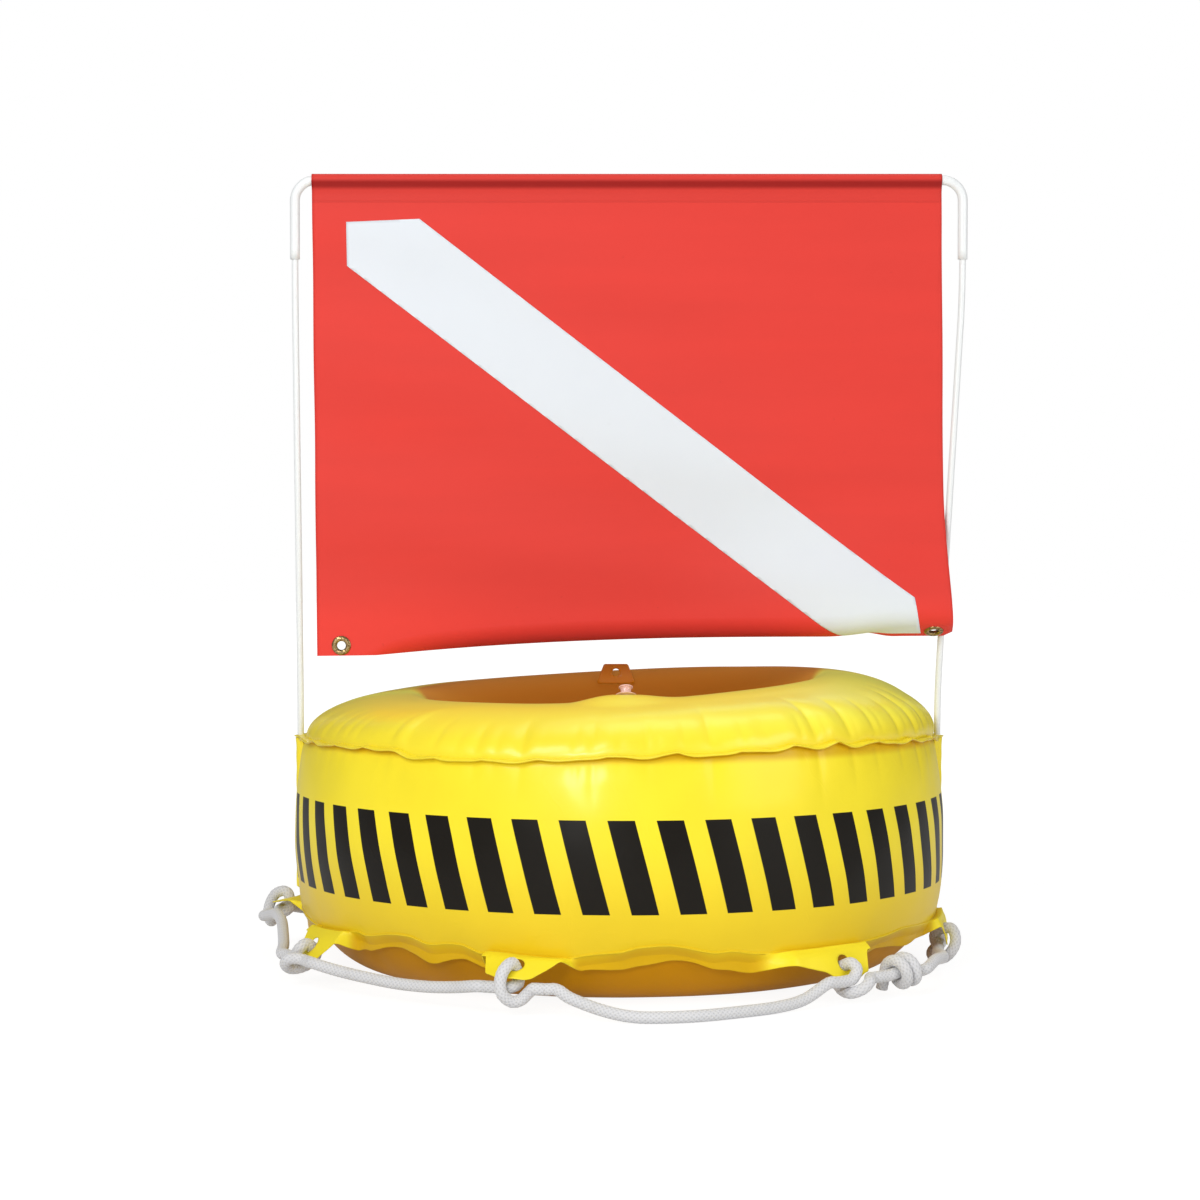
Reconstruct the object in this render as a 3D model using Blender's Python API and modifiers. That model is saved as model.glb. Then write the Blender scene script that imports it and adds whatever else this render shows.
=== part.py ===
"""Dive flag float, in metres with +Z up.

An air ring of four welded vinyl sheets stands on the ground. Two thin rods stand in
sleeves at its sides, a U tube slips over their tops, and the flag hangs from the tube
by a welded sleeve. A rope is laced through the eight tabs of the lower weld.
The origin is on the ground at the centre of the ring, and the front faces -Y.
Azimuths are in degrees from the front, growing towards +X.
"""
import math

import bmesh
import bpy
import numpy as np
from mathutils import Matrix, Vector

# Air ring: radii from the well outward, heights from the ground up
sheet = 0.0008
touch_gap = 0.0003
well_upper_radius = 0.178
well_flare = 0.009
toe_width = 0.018
foot_width = 0.030
shoulder_width = 0.027
upper_weld_radius = 0.305
weld_step = 0.004
well_lower_height = 0.010
lower_weld_height = 0.0555
wall_height = 0.1635
dome_rise = 0.0519
shoulder_drop = 0.0344
outer_bulge = 0.0098
well_bulge = 0.0175
bulge_fullness = 0.7
lap_height = 0.008
upper_flange = 0.008
lower_flange = 0.0065
ruffle_height = 0.0016
pucker_depth = 0.0012
ring_steps = 48
well_lower_radius = well_upper_radius + well_flare
foot_inner_radius = well_lower_radius + toe_width
foot_outer_radius = foot_inner_radius + foot_width
crest_radius = well_upper_radius + shoulder_width
lower_weld_radius = upper_weld_radius + weld_step
upper_weld_height = lower_weld_height + wall_height
crest_height = upper_weld_height + dome_rise
well_upper_height = crest_height - shoulder_drop

# Rods and their sleeves, from the upper weld
rod_diameter = 0.00635
rod_reach = 0.0075
rod_straight_rise = 0.006
rod_ease_share = 0.15
rod_steps = 12
sleeve_foot_rise = 0.0095
sleeve_floor = 0.001
sleeve_strip_width = 0.030
sleeve_strip = 0.0009
sleeve_wall = 0.0008
ear_margin = 0.0035
half_round_steps = 8
rod_axis_x = upper_weld_radius + rod_reach
sleeve_bottom = lower_weld_height + sleeve_foot_rise

# Flag: its edges beside the rods, its foot above the crest of the ring
flag_left_gap = 0.0125
flag_right_gap = 0.0025
flag_gap = 0.0255
flag_drop = 0.4651
flag_foot_rise = 0.007
flag_sheet = 0.0008
flag_clearance = 0.0006
flag_front = 0.0010
sleeve_pinch = 0.0115
weld_drop = 0.021
weld_overlap = 0.002
sleeve_angles = (-20, 10, 40, 70, 90, 110, 140, 170, 200)
ripple_height = 0.0020
ripple_length = 0.16
ripple_slant = 6.0
ripple_fade = 0.070
flag_lean = 0.004
flag_left_x = -rod_axis_x + flag_left_gap
flag_right_x = rod_axis_x + flag_right_gap
flag_width = flag_right_x - flag_left_x
flag_foot = crest_height + flag_gap
tube_height = flag_foot + flag_drop
weld_height = tube_height - weld_drop

# U tube that joins the rods
tube_diameter = 0.0095
tube_bore = 0.0075
left_slot = 0.0167
right_slot = 0.0208
leg_length = 0.077
tube_bend = 0.020
bend_steps = 6
left_leg_x = flag_left_x - left_slot
right_leg_x = flag_right_x + right_slot

# Grommets and their washers
grommet_radius = 0.0095
grommet_bore_radius = 0.0043
grommet_barrel_radius = 0.0050
grommet_lip_radius = 0.0062
grommet_flange = 0.0009
grommet_crown = 0.00036
grommet_sides = 20
washer_radius = 0.0085
washer_thickness = 0.0008
grommet_left_margin = 0.0238
grommet_right_margin = 0.0165
grommet_foot_margin = 0.0100

# Curl of the flag's hem: it starts beyond the left grommet, and leaves a flat end for the right one
curl_radius = 0.021
curl_angle = 118
curl_corner_angle = 60
curl_corner_shares = (0.828, 0.918)
curl_growth = 0.100
curl_left_gap = 0.0067
curl_start_x = flag_left_x + grommet_left_margin + grommet_radius + curl_left_gap
curl_arc = curl_radius * math.radians(curl_corner_angle)
curl_height = curl_arc + grommet_foot_margin + grommet_radius + flag_foot_rise
corner_push = 0.033
corner_push_rise = 0.1636
corner_push_shares = (0.538, 0.928)
corner_flare = 0.0086
corner_flare_share = 0.9
corner_flare_depth_share = 0.6

# Stripe
stripe_side_margin = 0.0333
stripe_top_margin = 0.044
stripe_end_margin = 0.0278
stripe_foot_margin = 0.0127
stripe_edge_height = 0.0455
stripe_edge_width = 0.0715
stripe_sheet = 0.0003

# Lacing tabs
tab_root_reach = 0.0055
tab_length = 0.040
tab_root_width = 0.074
tab_hole_radius = 0.0078
tab_hole_margin = 0.0168
tab_root_radius = lower_weld_radius + tab_root_reach

# Rear hand tab
hand_tab_width = 0.041
hand_tab_tip_width = 0.025
hand_tab_height = 0.0205
hand_tab_drop = 0.012
hand_tab_sheet = 0.001
hand_tab_hole_radius = 0.004
hand_tab_corner = 0.004
hand_tab_corner_steps = 3
hand_tab_x = -0.002

# Valve
valve_azimuth = 1.5
valve_inset = 0.0094
valve_tilt = 25.0
valve_disc_radius = 0.010
valve_disc = 0.0010
valve_stem_radius = 0.0048
valve_stem_height = 0.008
valve_stem_depth = 0.010
valve_bore_radius = 0.0032
valve_cap_radius = 0.0065
valve_cap = 0.0016
valve_plug_radius = 0.0026
valve_plug_tip_radius = 0.0021
valve_plug = 0.0025
valve_strap_width = 0.0045
valve_strap = 0.0010
valve_pivot_reach = 0.0125
valve_sides = 16
valve_radius = crest_radius - valve_inset

# Rope
rope_diameter = 0.0105
rope_step = 0.026
knot_points = 30
curve_samples = 12
turn_reach = 2.2

# Shares along the outlines
wall_row_shares = (0.0, 0.045, 0.22, 0.42, 0.62, 0.80, 0.955, 1.0)
well_row_shares = (0.0, 0.2, 0.5, 0.8, 1.0)
dome_angles = (0, 24, 45, 66, 90)
shoulder_angles = (90, 50, 20, 0)
belly_angles = (0, 24, 45, 66, 90)
tab_length_shares = (0.35, 0.80, 1.0)
tab_width_shares = (0.78, 0.70, 0.46)
overrun = 0.004
merge_gap = 0.00001
hole_sides = 16

# Each tab: azimuth, droop below level, side of the knot (1 below the tab, -1 above), share of the full length
tabs = (
    (-102, 15, 1, 1.0),
    (-60, 55, -1, 1.0),
    (-16, 36, 1, 1.0),
    (38, 66, -1, 1.0),
    (80, 78, 1, 0.85),
    (126, 40, 1, 1.0),
    (170, 36, 1, 1.0),
    (214, 40, 1, 1.0),
)

# The knot round a tab, from one rope end to the other: along the ring, outward along the tab, off the tab
knot_route = (
    (-0.0230, 0.0185, -0.0085), (-0.0125, 0.0185, -0.0085), (-0.0035, 0.0172, -0.0095),
    (0.0022, 0.0100, -0.0115), (0.0012, 0.0030, -0.0080), (0.0000, 0.0020, 0.0000),
    (-0.0010, 0.0030, 0.0060), (-0.0035, 0.0085, 0.0088), (-0.0065, 0.0170, 0.0078),
    (-0.0078, 0.0245, 0.0020), (-0.0062, 0.0290, -0.0060), (0.0000, 0.0285, -0.0150),
    (0.0070, 0.0240, -0.0175), (0.0135, 0.0200, -0.0130), (0.0180, 0.0185, -0.0090),
    (0.0200, 0.0185, -0.0085), (0.0300, 0.0185, -0.0085),
)

# The rope between one tab's knot and the next: azimuth, radius, height
stretch_routes = (
    ((-92, 0.344, 0.04), (-87, 0.335, 0.0445), (-81, 0.33, 0.042), (-75, 0.332, 0.035), (-70, 0.3375, 0.029)),
    ((-49, 0.3395, 0.0215), (-43, 0.3335, 0.0185), (-37, 0.3305, 0.0165), (-31, 0.3315, 0.017), (-26, 0.3355, 0.0195)),
    ((-7, 0.3515, 0.017), (-2.5, 0.364, 0.0095), (1.5, 0.373, 0.0058), (6, 0.3755, 0.0054), (11, 0.371, 0.0054),
     (17, 0.36, 0.0054), (23, 0.35, 0.0056), (28, 0.343, 0.009)),
    ((57, 0.345, 0.026), (62, 0.339, 0.0235), (67, 0.329, 0.021), (71, 0.32, 0.0192)),
    ((91, 0.319, 0.0185), (97, 0.324, 0.0175), (103, 0.3285, 0.0165), (110, 0.332, 0.017), (116, 0.3365, 0.019)),
    ((137, 0.337, 0.019), (143, 0.333, 0.0165), (149, 0.3315, 0.0155), (154, 0.333, 0.0165), (160, 0.338, 0.0195)),
    ((181, 0.338, 0.0195), (187, 0.334, 0.0165), (193, 0.3325, 0.0155), (198, 0.333, 0.0165), (204, 0.337, 0.019)),
    ((225, 0.337, 0.0195), (231, 0.3335, 0.019), (237, 0.334, 0.0205), (242, 0.338, 0.024), (248, 0.345, 0.03)),
)

# The joining knot: a barrel of turns round its own strand, rising away from the tab's knot
joining_rise = 9.0
joining_link = 0.010
joining_core = 0.027
joining_turns = 1.75
joining_pitch = 0.0114
joining_turn_radius = 0.0113
joining_tail = 0.016
joining_stretch = 3


def clear_scene():
    for item in list(bpy.data.objects):
        bpy.data.objects.remove(item, do_unlink=True)


def new_collection(name):
    collection = bpy.data.collections.new(name)
    bpy.context.scene.collection.children.link(collection)
    return collection


def new_finish(name, colour, roughness, metallic=0.0):
    finish = bpy.data.materials.new(name)
    finish.use_nodes = True
    shader = finish.node_tree.nodes["Principled BSDF"]
    shader.inputs["Base Color"].default_value = (*colour, 1.0)
    shader.inputs["Roughness"].default_value = roughness
    shader.inputs["Metallic"].default_value = metallic
    return finish


clear_scene()
parts = new_collection("dive_flag_float")
cutters = new_collection("cutters")

yellow_vinyl = new_finish("yellow_vinyl", (0.83, 0.66, 0.05), 0.35)
red_vinyl = new_finish("red_vinyl", (0.80, 0.06, 0.04), 0.5)
white_vinyl = new_finish("white_vinyl", (0.82, 0.85, 0.90), 0.5)
clear_vinyl = new_finish("clear_vinyl", (0.80, 0.45, 0.40), 0.2)
white_plastic = new_finish("white_plastic", (0.82, 0.82, 0.80), 0.35)
brass = new_finish("brass", (0.45, 0.32, 0.16), 0.35, 1.0)
white_rope = new_finish("white_rope", (0.76, 0.77, 0.78), 0.8)


def add_object(name, mesh, finish, origin=Vector()):
    """An object whose mesh was made in world places, with its own origin put where the piece turns."""
    mesh.transform(Matrix.Translation(-origin))
    mesh.materials.append(finish)
    mesh.shade_smooth()
    mesh.set_sharp_from_angle(angle=math.radians(35))
    item = bpy.data.objects.new(name, mesh)
    item.location = origin
    parts.objects.link(item)
    return item


def mesh_of(name, bm):
    bmesh.ops.recalc_face_normals(bm, faces=bm.faces[:])
    mesh = bpy.data.meshes.new(name)
    bm.to_mesh(mesh)
    bm.free()
    return mesh


def cut(item, name, mesh):
    """Cuts a closed mesh, made in world places, out of an object."""
    cutter = bpy.data.objects.new(name, mesh)
    cutter.hide_render = True
    cutter.display_type = "WIRE"
    cutters.objects.link(cutter)
    boolean = item.modifiers.new(name, "BOOLEAN")
    boolean.operation = "DIFFERENCE"
    boolean.object = cutter


def drill_mesh(name, radius, places, reach, sides=hole_sides):
    """One cylinder for each centre and direction, reaching as far to both sides of its centre."""
    bm = bmesh.new()
    for centre, direction in places:
        turn = Vector(direction).to_track_quat("Z", "Y").to_matrix().to_4x4()
        bmesh.ops.create_cone(bm, cap_ends=True, segments=sides, radius1=radius, radius2=radius,
                              depth=2 * reach, matrix=Matrix.Translation(centre) @ turn)
    return mesh_of(name, bm)


def outward(azimuth):
    angle = math.radians(azimuth)
    return Vector((math.sin(angle), -math.cos(angle), 0))


def around(azimuth):
    angle = math.radians(azimuth)
    return Vector((math.cos(angle), math.sin(angle), 0))


def ring_place(azimuth, radius, height):
    return outward(azimuth) * radius + Vector((0, 0, height))


def smooth_step(value, start, end):
    share = min(max((value - start) / (end - start), 0), 1)
    return share * share * (3 - 2 * share)


# The four sheets of the ring

def thick_outline(line, thickness):
    """The closed outline of a sheet whose middle follows a line, with mitred corners."""
    points = [Vector(point) for point in line]
    runs = [(b - a).normalized() for a, b in zip(points, points[1:])]
    runs = [runs[0]] + runs + [runs[-1]]
    left, right = [], []
    for point, before, after in zip(points, runs, runs[1:]):
        sides = Vector((-before.y, before.x)), Vector((-after.y, after.x))
        mitre = (sides[0] + sides[1]) / (1 + sides[0].dot(sides[1]))
        left.append(point + mitre * thickness / 2)
        right.append(point - mitre * thickness / 2)
    return left + right[::-1]


def turned_sheet(line, move):
    """Turns a sheet round the Z axis, then moves each vertex by its place on the line and its column."""
    outline = thick_outline(line, sheet)
    bm = bmesh.new()
    place = bm.verts.layers.int.new("place")
    half_step = 180 / ring_steps
    verts = []
    for number, point in enumerate(outline):
        vert = bm.verts.new(ring_place(half_step, point.x, point.y))
        vert[place] = min(number, len(outline) - 1 - number)
        verts.append(vert)
    edges = [bm.edges.new((a, b)) for a, b in zip(verts, verts[1:] + verts[:1])]
    bmesh.ops.spin(bm, geom=verts + edges, cent=(0, 0, 0), axis=(0, 0, 1), angle=math.tau,
                   steps=ring_steps, use_merge=True)
    for vert in bm.verts:
        vert.co = move(vert[place], azimuth_of(vert.co), vert.co)
    # Both sheets of a weld are split along the same short diagonals, so their waves nest.
    bmesh.ops.triangulate(bm, faces=bm.faces[:], quad_method="SHORT_EDGE")
    return bm


def azimuth_of(point):
    return math.degrees(math.atan2(point.x, -point.y))


def column_of(azimuth):
    return round(azimuth * ring_steps / 360 - 0.5)


def beside_rod(azimuth):
    return abs(abs(azimuth) - 90) < 360 / ring_steps


def ruffle(azimuth):
    """The wave of a welded edge: columns go up and down by turns, by uneven amounts, and not at the rods."""
    if beside_rod(azimuth):
        return 0
    column = column_of(azimuth)
    return (-1) ** column * (0.65 + 0.35 * math.sin(1.7 * column))


def quarter(centre_radius, centre_height, reach, rise, angles):
    """Points of a quarter ellipse, with the angle counted from its level end."""
    return [(centre_radius + reach * math.cos(math.radians(angle)),
             centre_height + rise * math.sin(math.radians(angle))) for angle in angles]


half_layer = (sheet + touch_gap) / 2
lap_offset = sheet + touch_gap
ear_radius = rod_axis_x + rod_diameter / 2 + touch_gap + ear_margin
wall_face_x = rod_axis_x - rod_diameter / 2 - touch_gap - sleeve_strip - touch_gap


def rim_place(point, azimuth, rise):
    """A vertex of an upper weld's rim: ruffled, and widened to an ear at each rod."""
    if beside_rod(azimuth):
        return Vector((math.copysign(ear_radius, point.x), point.y, point.z))
    return point + Vector((0, 0, rise * ruffle(azimuth)))


def add_top_sheet():
    height = upper_weld_height + half_layer
    rim = (upper_weld_radius + upper_flange, height)
    crest = crest_height - sheet / 2
    dome = quarter(crest_radius, height, upper_weld_radius - crest_radius, crest - height, dome_angles)
    shoulder = quarter(crest_radius, well_upper_height, well_upper_radius - crest_radius,
                       crest - well_upper_height, shoulder_angles[1:])
    lap = (well_upper_radius, well_upper_height - lap_height)

    def move(place, azimuth, point):
        if place == 0:
            return rim_place(point, azimuth, ruffle_height)
        if place == 2:
            return point - outward(azimuth) * pucker_depth * ruffle(azimuth)
        return point

    bm = turned_sheet([rim] + dome + shoulder + [lap], move)
    item = add_object("top_panel", mesh_of("top_panel", bm), yellow_vinyl)
    cut_rod_holes(item)
    return item


def cut_rod_holes(item):
    places = [((side * rod_axis_x, 0, upper_weld_height), (0, 0, 1)) for side in (-1, 1)]
    cut(item, item.name + "_rod_holes", drill_mesh("rod_holes", rod_diameter / 2 + touch_gap, places, overrun))


def add_outer_wall():
    top = upper_weld_height - half_layer
    bottom = lower_weld_height + half_layer
    line = [(upper_weld_radius + upper_flange, top)]
    for share in wall_row_shares:
        radius = upper_weld_radius + (lower_weld_radius - upper_weld_radius) * share
        bulge = outer_bulge * math.sin(math.pi * share) ** bulge_fullness if 0 < share < 1 else 0
        line.append((radius + bulge, top + (bottom - top) * share))
    line.append((lower_weld_radius + lower_flange, bottom))
    last = len(line) - 1

    def move(place, azimuth, point):
        if place == 0:
            return rim_place(point, azimuth, ruffle_height)
        if place == last:
            return lower_rim(point, azimuth)
        if 1 < place < last - 1 and beside_rod(azimuth):
            # The wall lies flat behind the rod's sleeve.
            middle = Vector((line[place][0], 0)).x
            skin = math.copysign(sheet / 2, point.xy.length - middle)
            return Vector((math.copysign(wall_face_x - sheet / 2 + skin, point.x), point.y, point.z))
        return point

    bm = turned_sheet(line, move)
    item = add_object("outer_wall", mesh_of("outer_wall", bm), yellow_vinyl)
    cut_rod_holes(item)
    return item


def nearest_tab(azimuth):
    """The tab whose three columns hold an azimuth, and which of the three it is, or nothing."""
    for number, (centre, droop, side, share) in enumerate(tabs):
        offset = (column_of(azimuth) - column_of(centre) + ring_steps // 2) % ring_steps - ring_steps // 2
        if abs(offset) <= 1:
            return number, offset
    return None


def lower_rim(point, azimuth):
    """A vertex of the lower weld's rim: on the root line of a tab, or ruffled between the tabs."""
    found = nearest_tab(azimuth)
    if found:
        number, offset = found
        root, hole, along, out, off = tab_frame(number)
        place = root + along * offset * tab_root_width / 2
        return Vector((place.x, place.y, point.z))
    return point + Vector((0, 0, ruffle_height * ruffle(azimuth)))


def add_inner_wall():
    top = well_upper_height - touch_gap
    bottom = well_lower_height + touch_gap
    high = top - lap_height - 2 * sheet
    low = bottom + lap_height + 2 * sheet
    upper = well_upper_radius + lap_offset
    lower = well_lower_radius + lap_offset
    line = [(upper, top - touch_gap)]
    for share in well_row_shares:
        radius = upper + (lower - upper) * share
        bulge = well_bulge * math.sin(math.pi * share) ** bulge_fullness if 0 < share < 1 else 0
        line.append((radius - bulge, high + (low - high) * share))
    line.append((lower, bottom + touch_gap))
    bm = turned_sheet(line, lambda place, azimuth, point: point)
    return add_object("inner_wall", mesh_of("inner_wall", bm), yellow_vinyl)


def tab_frame(number):
    """A tab's hole centre, and its directions round the ring, outward along the tab and off its upper face."""
    azimuth, droop, side, share = tabs[number]
    level = outward(azimuth)
    angle = math.radians(droop)
    along = around(azimuth)
    out = level * math.cos(angle) - Vector((0, 0, math.sin(angle)))
    off = level * math.sin(angle) + Vector((0, 0, math.cos(angle)))
    root = level * tab_root_radius + Vector((0, 0, lower_weld_height - half_layer))
    hole = root + out * (tab_length * share - tab_hole_margin)
    return root, hole, along, out, off


def grow_tab(bm, number):
    """Draws three rows of a tab out of the rim of the lower weld."""
    place = bm.verts.layers.int["place"]
    azimuth, droop, side, share = tabs[number]
    root, hole, along, out, off = tab_frame(number)
    faces = []
    for face in bm.faces:
        if all(vert[place] == 0 for vert in face.verts):
            found = [nearest_tab(azimuth_of(vert.co)) for vert in face.verts]
            if all(item and item[0] == number for item in found):
                faces.append(face)
    for length_share, width_share in zip(tab_length_shares, tab_width_shares):
        result = bmesh.ops.extrude_face_region(bm, geom=faces)
        bmesh.ops.delete(bm, geom=faces, context="FACES_ONLY")
        faces = [item for item in result["geom"] if isinstance(item, bmesh.types.BMFace)]
        for vert in {vert for face in faces for vert in face.verts}:
            local = vert.co - root
            offset = round(local.dot(along) / tab_root_width * 4)
            offset = (offset > 0) - (offset < 0)
            layer = math.copysign(sheet / 2, local.dot(off))
            vert.co = (root + along * offset * tab_root_width * width_share / 2
                       + out * tab_length * share * length_share + off * layer)


def add_bottom_sheet():
    height = lower_weld_height - half_layer
    floor = sheet / 2
    rim = (lower_weld_radius + lower_flange, height)
    belly = quarter(foot_outer_radius, height, lower_weld_radius - foot_outer_radius, floor - height, belly_angles)
    toe = quarter(foot_inner_radius, well_lower_height, well_lower_radius - foot_inner_radius,
                  floor - well_lower_height, (90, 45, 0))
    lap = (well_lower_radius, well_lower_height + lap_height)

    def move(place, azimuth, point):
        return lower_rim(point, azimuth) if place == 0 else point

    bm = turned_sheet([rim] + belly + toe + [lap], move)
    for number in range(len(tabs)):
        grow_tab(bm, number)
    item = add_object("bottom_panel", mesh_of("bottom_panel", bm), yellow_vinyl)
    frames = [tab_frame(number) for number in range(len(tabs))]
    places = [(hole, off) for root, hole, along, out, off in frames]
    cut(item, "tab_holes", drill_mesh("tab_holes", tab_hole_radius, places, overrun))
    return item


# What is welded on the ring

def extruded(name, outline, low, high):
    """A flat outline, given in X and Y, raised from one height to another."""
    bm = bmesh.new()
    verts = [bm.verts.new((x, y, low)) for x, y in outline]
    face = bm.faces.new(verts)
    raised = bmesh.ops.extrude_face_region(bm, geom=[face], use_keep_orig=True)
    up = [item for item in raised["geom"] if isinstance(item, bmesh.types.BMVert)]
    bmesh.ops.translate(bm, verts=up, vec=(0, 0, high - low))
    return mesh_of(name, bm)


def half_round(side, radius, back):
    """A U outline round a rod: a half circle outward, with straight sides back to a plane."""
    points = [(side * back, -radius)]
    for step in range(half_round_steps + 1):
        angle = math.radians(-90 + 180 * step / half_round_steps)
        points.append((side * (rod_axis_x + radius * math.cos(angle)), radius * math.sin(angle)))
    points.append((side * back, radius))
    return points


def add_rod_pocket(name, side):
    face = wall_face_x + touch_gap
    front = face + sleeve_strip
    bore = rod_diameter / 2 + touch_gap
    top = upper_weld_height - 2 * half_layer - touch_gap - sheet / 2
    hump = half_round(side, bore + sleeve_wall, front)
    half = sleeve_strip_width / 2
    outline = [(side * face, half), (side * face, -half), (side * front, -half)] + hump + [(side * front, half)]
    item = add_object(name, extruded(name, outline, sleeve_bottom, top), yellow_vinyl)
    mesh = extruded(name + "_bore", half_round(side, bore, front), sleeve_bottom + sleeve_floor, top + overrun)
    cut(item, mesh.name, mesh)
    return item


def add_rear_tab():
    """An upright trapezoid behind the well, leaning on the shoulder of the top sheet."""
    foot = crest_height - hand_tab_drop
    rise = (foot - well_upper_height) / (crest_height - well_upper_height)
    reach = crest_radius - (crest_radius - well_upper_radius) * math.sqrt(1 - rise * rise)
    half = hand_tab_width / 2
    back = math.sqrt(reach * reach - half * half) - sheet - touch_gap
    bm = bmesh.new()
    corners = ((-half, foot), (half, foot), (hand_tab_tip_width / 2, foot + hand_tab_height),
               (-hand_tab_tip_width / 2, foot + hand_tab_height))
    face = bm.faces.new([bm.verts.new((hand_tab_x + x, back, z)) for x, z in corners])
    bmesh.ops.bevel(bm, geom=list(face.verts)[2:], offset=hand_tab_corner, segments=hand_tab_corner_steps,
                    affect="VERTICES", profile=0.5)
    front = bmesh.ops.extrude_face_region(bm, geom=bm.faces[:], use_keep_orig=True)
    verts = [item for item in front["geom"] if isinstance(item, bmesh.types.BMVert)]
    bmesh.ops.translate(bm, verts=verts, vec=(0, -hand_tab_sheet, 0))
    item = add_object("rear_tab", mesh_of("rear_tab", bm), yellow_vinyl)
    places = [((hand_tab_x, back, crest_height), (0, 1, 0))]
    cut(item, "rear_tab_hole", drill_mesh("rear_tab_hole", hand_tab_hole_radius, places, overrun))
    return item


def turned(outline, frame, steps):
    """A closed outline of radius and height, turned round the Z axis of a frame."""
    bm = bmesh.new()
    verts = [bm.verts.new((radius, 0, height)) for radius, height in outline]
    edges = [bm.edges.new((a, b)) for a, b in zip(verts, verts[1:] + verts[:1])]
    bmesh.ops.spin(bm, geom=verts + edges, cent=(0, 0, 0), axis=(0, 0, 1), angle=math.tau,
                   steps=steps, use_merge=True)
    bmesh.ops.transform(bm, matrix=frame, verts=bm.verts[:])
    return bm


def valve_frame():
    """The valve's own frame: Z along its stem, X towards the well, on the face of the top sheet."""
    rise = math.sqrt(1 - ((crest_radius - valve_radius) / (crest_radius - well_upper_radius)) ** 2)
    height = well_upper_height + (crest_height - well_upper_height) * rise
    angle = math.radians(valve_tilt)
    inward = -outward(valve_azimuth)
    up = inward * math.sin(angle) + Vector((0, 0, math.cos(angle)))
    across = inward * math.cos(angle) - Vector((0, 0, math.sin(angle)))
    frame = Matrix((across, up.cross(across), up)).transposed().to_4x4()
    frame.translation = ring_place(valve_azimuth, valve_radius, height) + up * touch_gap
    return frame


def add_valve(top_sheet):
    frame = valve_frame()
    up = frame.col[2].xyz
    outline = ((valve_bore_radius, -valve_stem_depth), (valve_stem_radius, -valve_stem_depth),
               (valve_stem_radius, 0), (valve_disc_radius, 0), (valve_disc_radius, valve_disc),
               (valve_stem_radius, valve_disc), (valve_stem_radius, valve_stem_height),
               (valve_bore_radius, valve_stem_height))
    base = add_object("valve_base", mesh_of("valve_base", turned(outline, frame, valve_sides)), clear_vinyl)
    places = [(frame.translation, up)]
    hole = drill_mesh("valve_hole", valve_stem_radius + touch_gap, places, valve_stem_depth)
    cut(top_sheet, "valve_hole", hole)

    cap_foot = valve_stem_height + touch_gap
    pivot = frame @ Vector((valve_pivot_reach, 0, valve_stem_height - valve_plug / 2))
    outline = ((0, cap_foot - valve_plug), (valve_plug_tip_radius, cap_foot - valve_plug),
               (valve_plug_radius, cap_foot), (valve_cap_radius, cap_foot),
               (valve_cap_radius, cap_foot + valve_cap), (0, cap_foot + valve_cap))
    bm = bmesh.new()
    verts = [bm.verts.new((radius, 0, height)) for radius, height in outline]
    edges = [bm.edges.new((a, b)) for a, b in zip(verts, verts[1:])]
    bmesh.ops.spin(bm, geom=verts + edges, cent=(0, 0, 0), axis=(0, 0, 1), angle=math.tau,
                   steps=valve_sides, use_merge=True)
    bmesh.ops.remove_doubles(bm, verts=bm.verts[:], dist=merge_gap)
    bmesh.ops.transform(bm, matrix=frame, verts=bm.verts[:])
    cap = add_object("valve_cap", mesh_of("valve_cap", bm), clear_vinyl, pivot)

    # The strap runs from the cap's rim out to the pivot and down to the disc's edge.
    half = valve_strap_width / 2
    strap_height = cap_foot + valve_cap / 2
    strap_line = ((valve_cap_radius - valve_cap, strap_height), (valve_pivot_reach, strap_height),
                  (valve_pivot_reach, valve_disc + touch_gap))
    strap = bmesh.new()
    outline = thick_outline(strap_line, valve_strap)
    face = strap.faces.new([strap.verts.new((point.x, -half, point.y)) for point in outline])
    grown = bmesh.ops.extrude_face_region(strap, geom=[face], use_keep_orig=True)
    moved = [item for item in grown["geom"] if isinstance(item, bmesh.types.BMVert)]
    bmesh.ops.translate(strap, verts=moved, vec=(0, 2 * half, 0))
    bmesh.ops.transform(strap, matrix=frame, verts=strap.verts[:])
    joined = bpy.data.objects.new("valve_strap", mesh_of("valve_strap", strap))
    joined.hide_render = True
    joined.display_type = "WIRE"
    cutters.objects.link(joined)
    union = cap.modifiers.new("strap", "BOOLEAN")
    union.operation = "UNION"
    union.object = joined
    return base, cap


# Rods and tube

def tube_curve(name, points, diameter, resolution):
    curve = bpy.data.curves.new(name, "CURVE")
    curve.dimensions = "3D"
    curve.bevel_depth = diameter / 2
    curve.bevel_resolution = resolution
    curve.use_fill_caps = True
    spline = curve.splines.new("POLY")
    spline.points.add(len(points) - 1)
    for target, point in zip(spline.points, points):
        target.co = (*point, 1)
    return curve


def curve_mesh(curve):
    """The mesh of a curve, with its caps welded on."""
    guide = bpy.data.objects.new(curve.name, curve)
    bpy.context.scene.collection.objects.link(guide)
    bpy.context.view_layer.update()
    mesh = bpy.data.meshes.new_from_object(guide.evaluated_get(bpy.context.evaluated_depsgraph_get()))
    bpy.data.objects.remove(guide)
    bm = bmesh.new()
    bm.from_mesh(mesh)
    bmesh.ops.remove_doubles(bm, verts=bm.verts[:], dist=merge_gap)
    bpy.data.meshes.remove(mesh)
    return mesh_of(curve.name, bm)


rod_foot = sleeve_bottom + sleeve_floor + touch_gap
leg_end = tube_height - leg_length
rod_top = tube_height - tube_bend - touch_gap
rod_straight_top = upper_weld_height + rod_straight_rise


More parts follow.
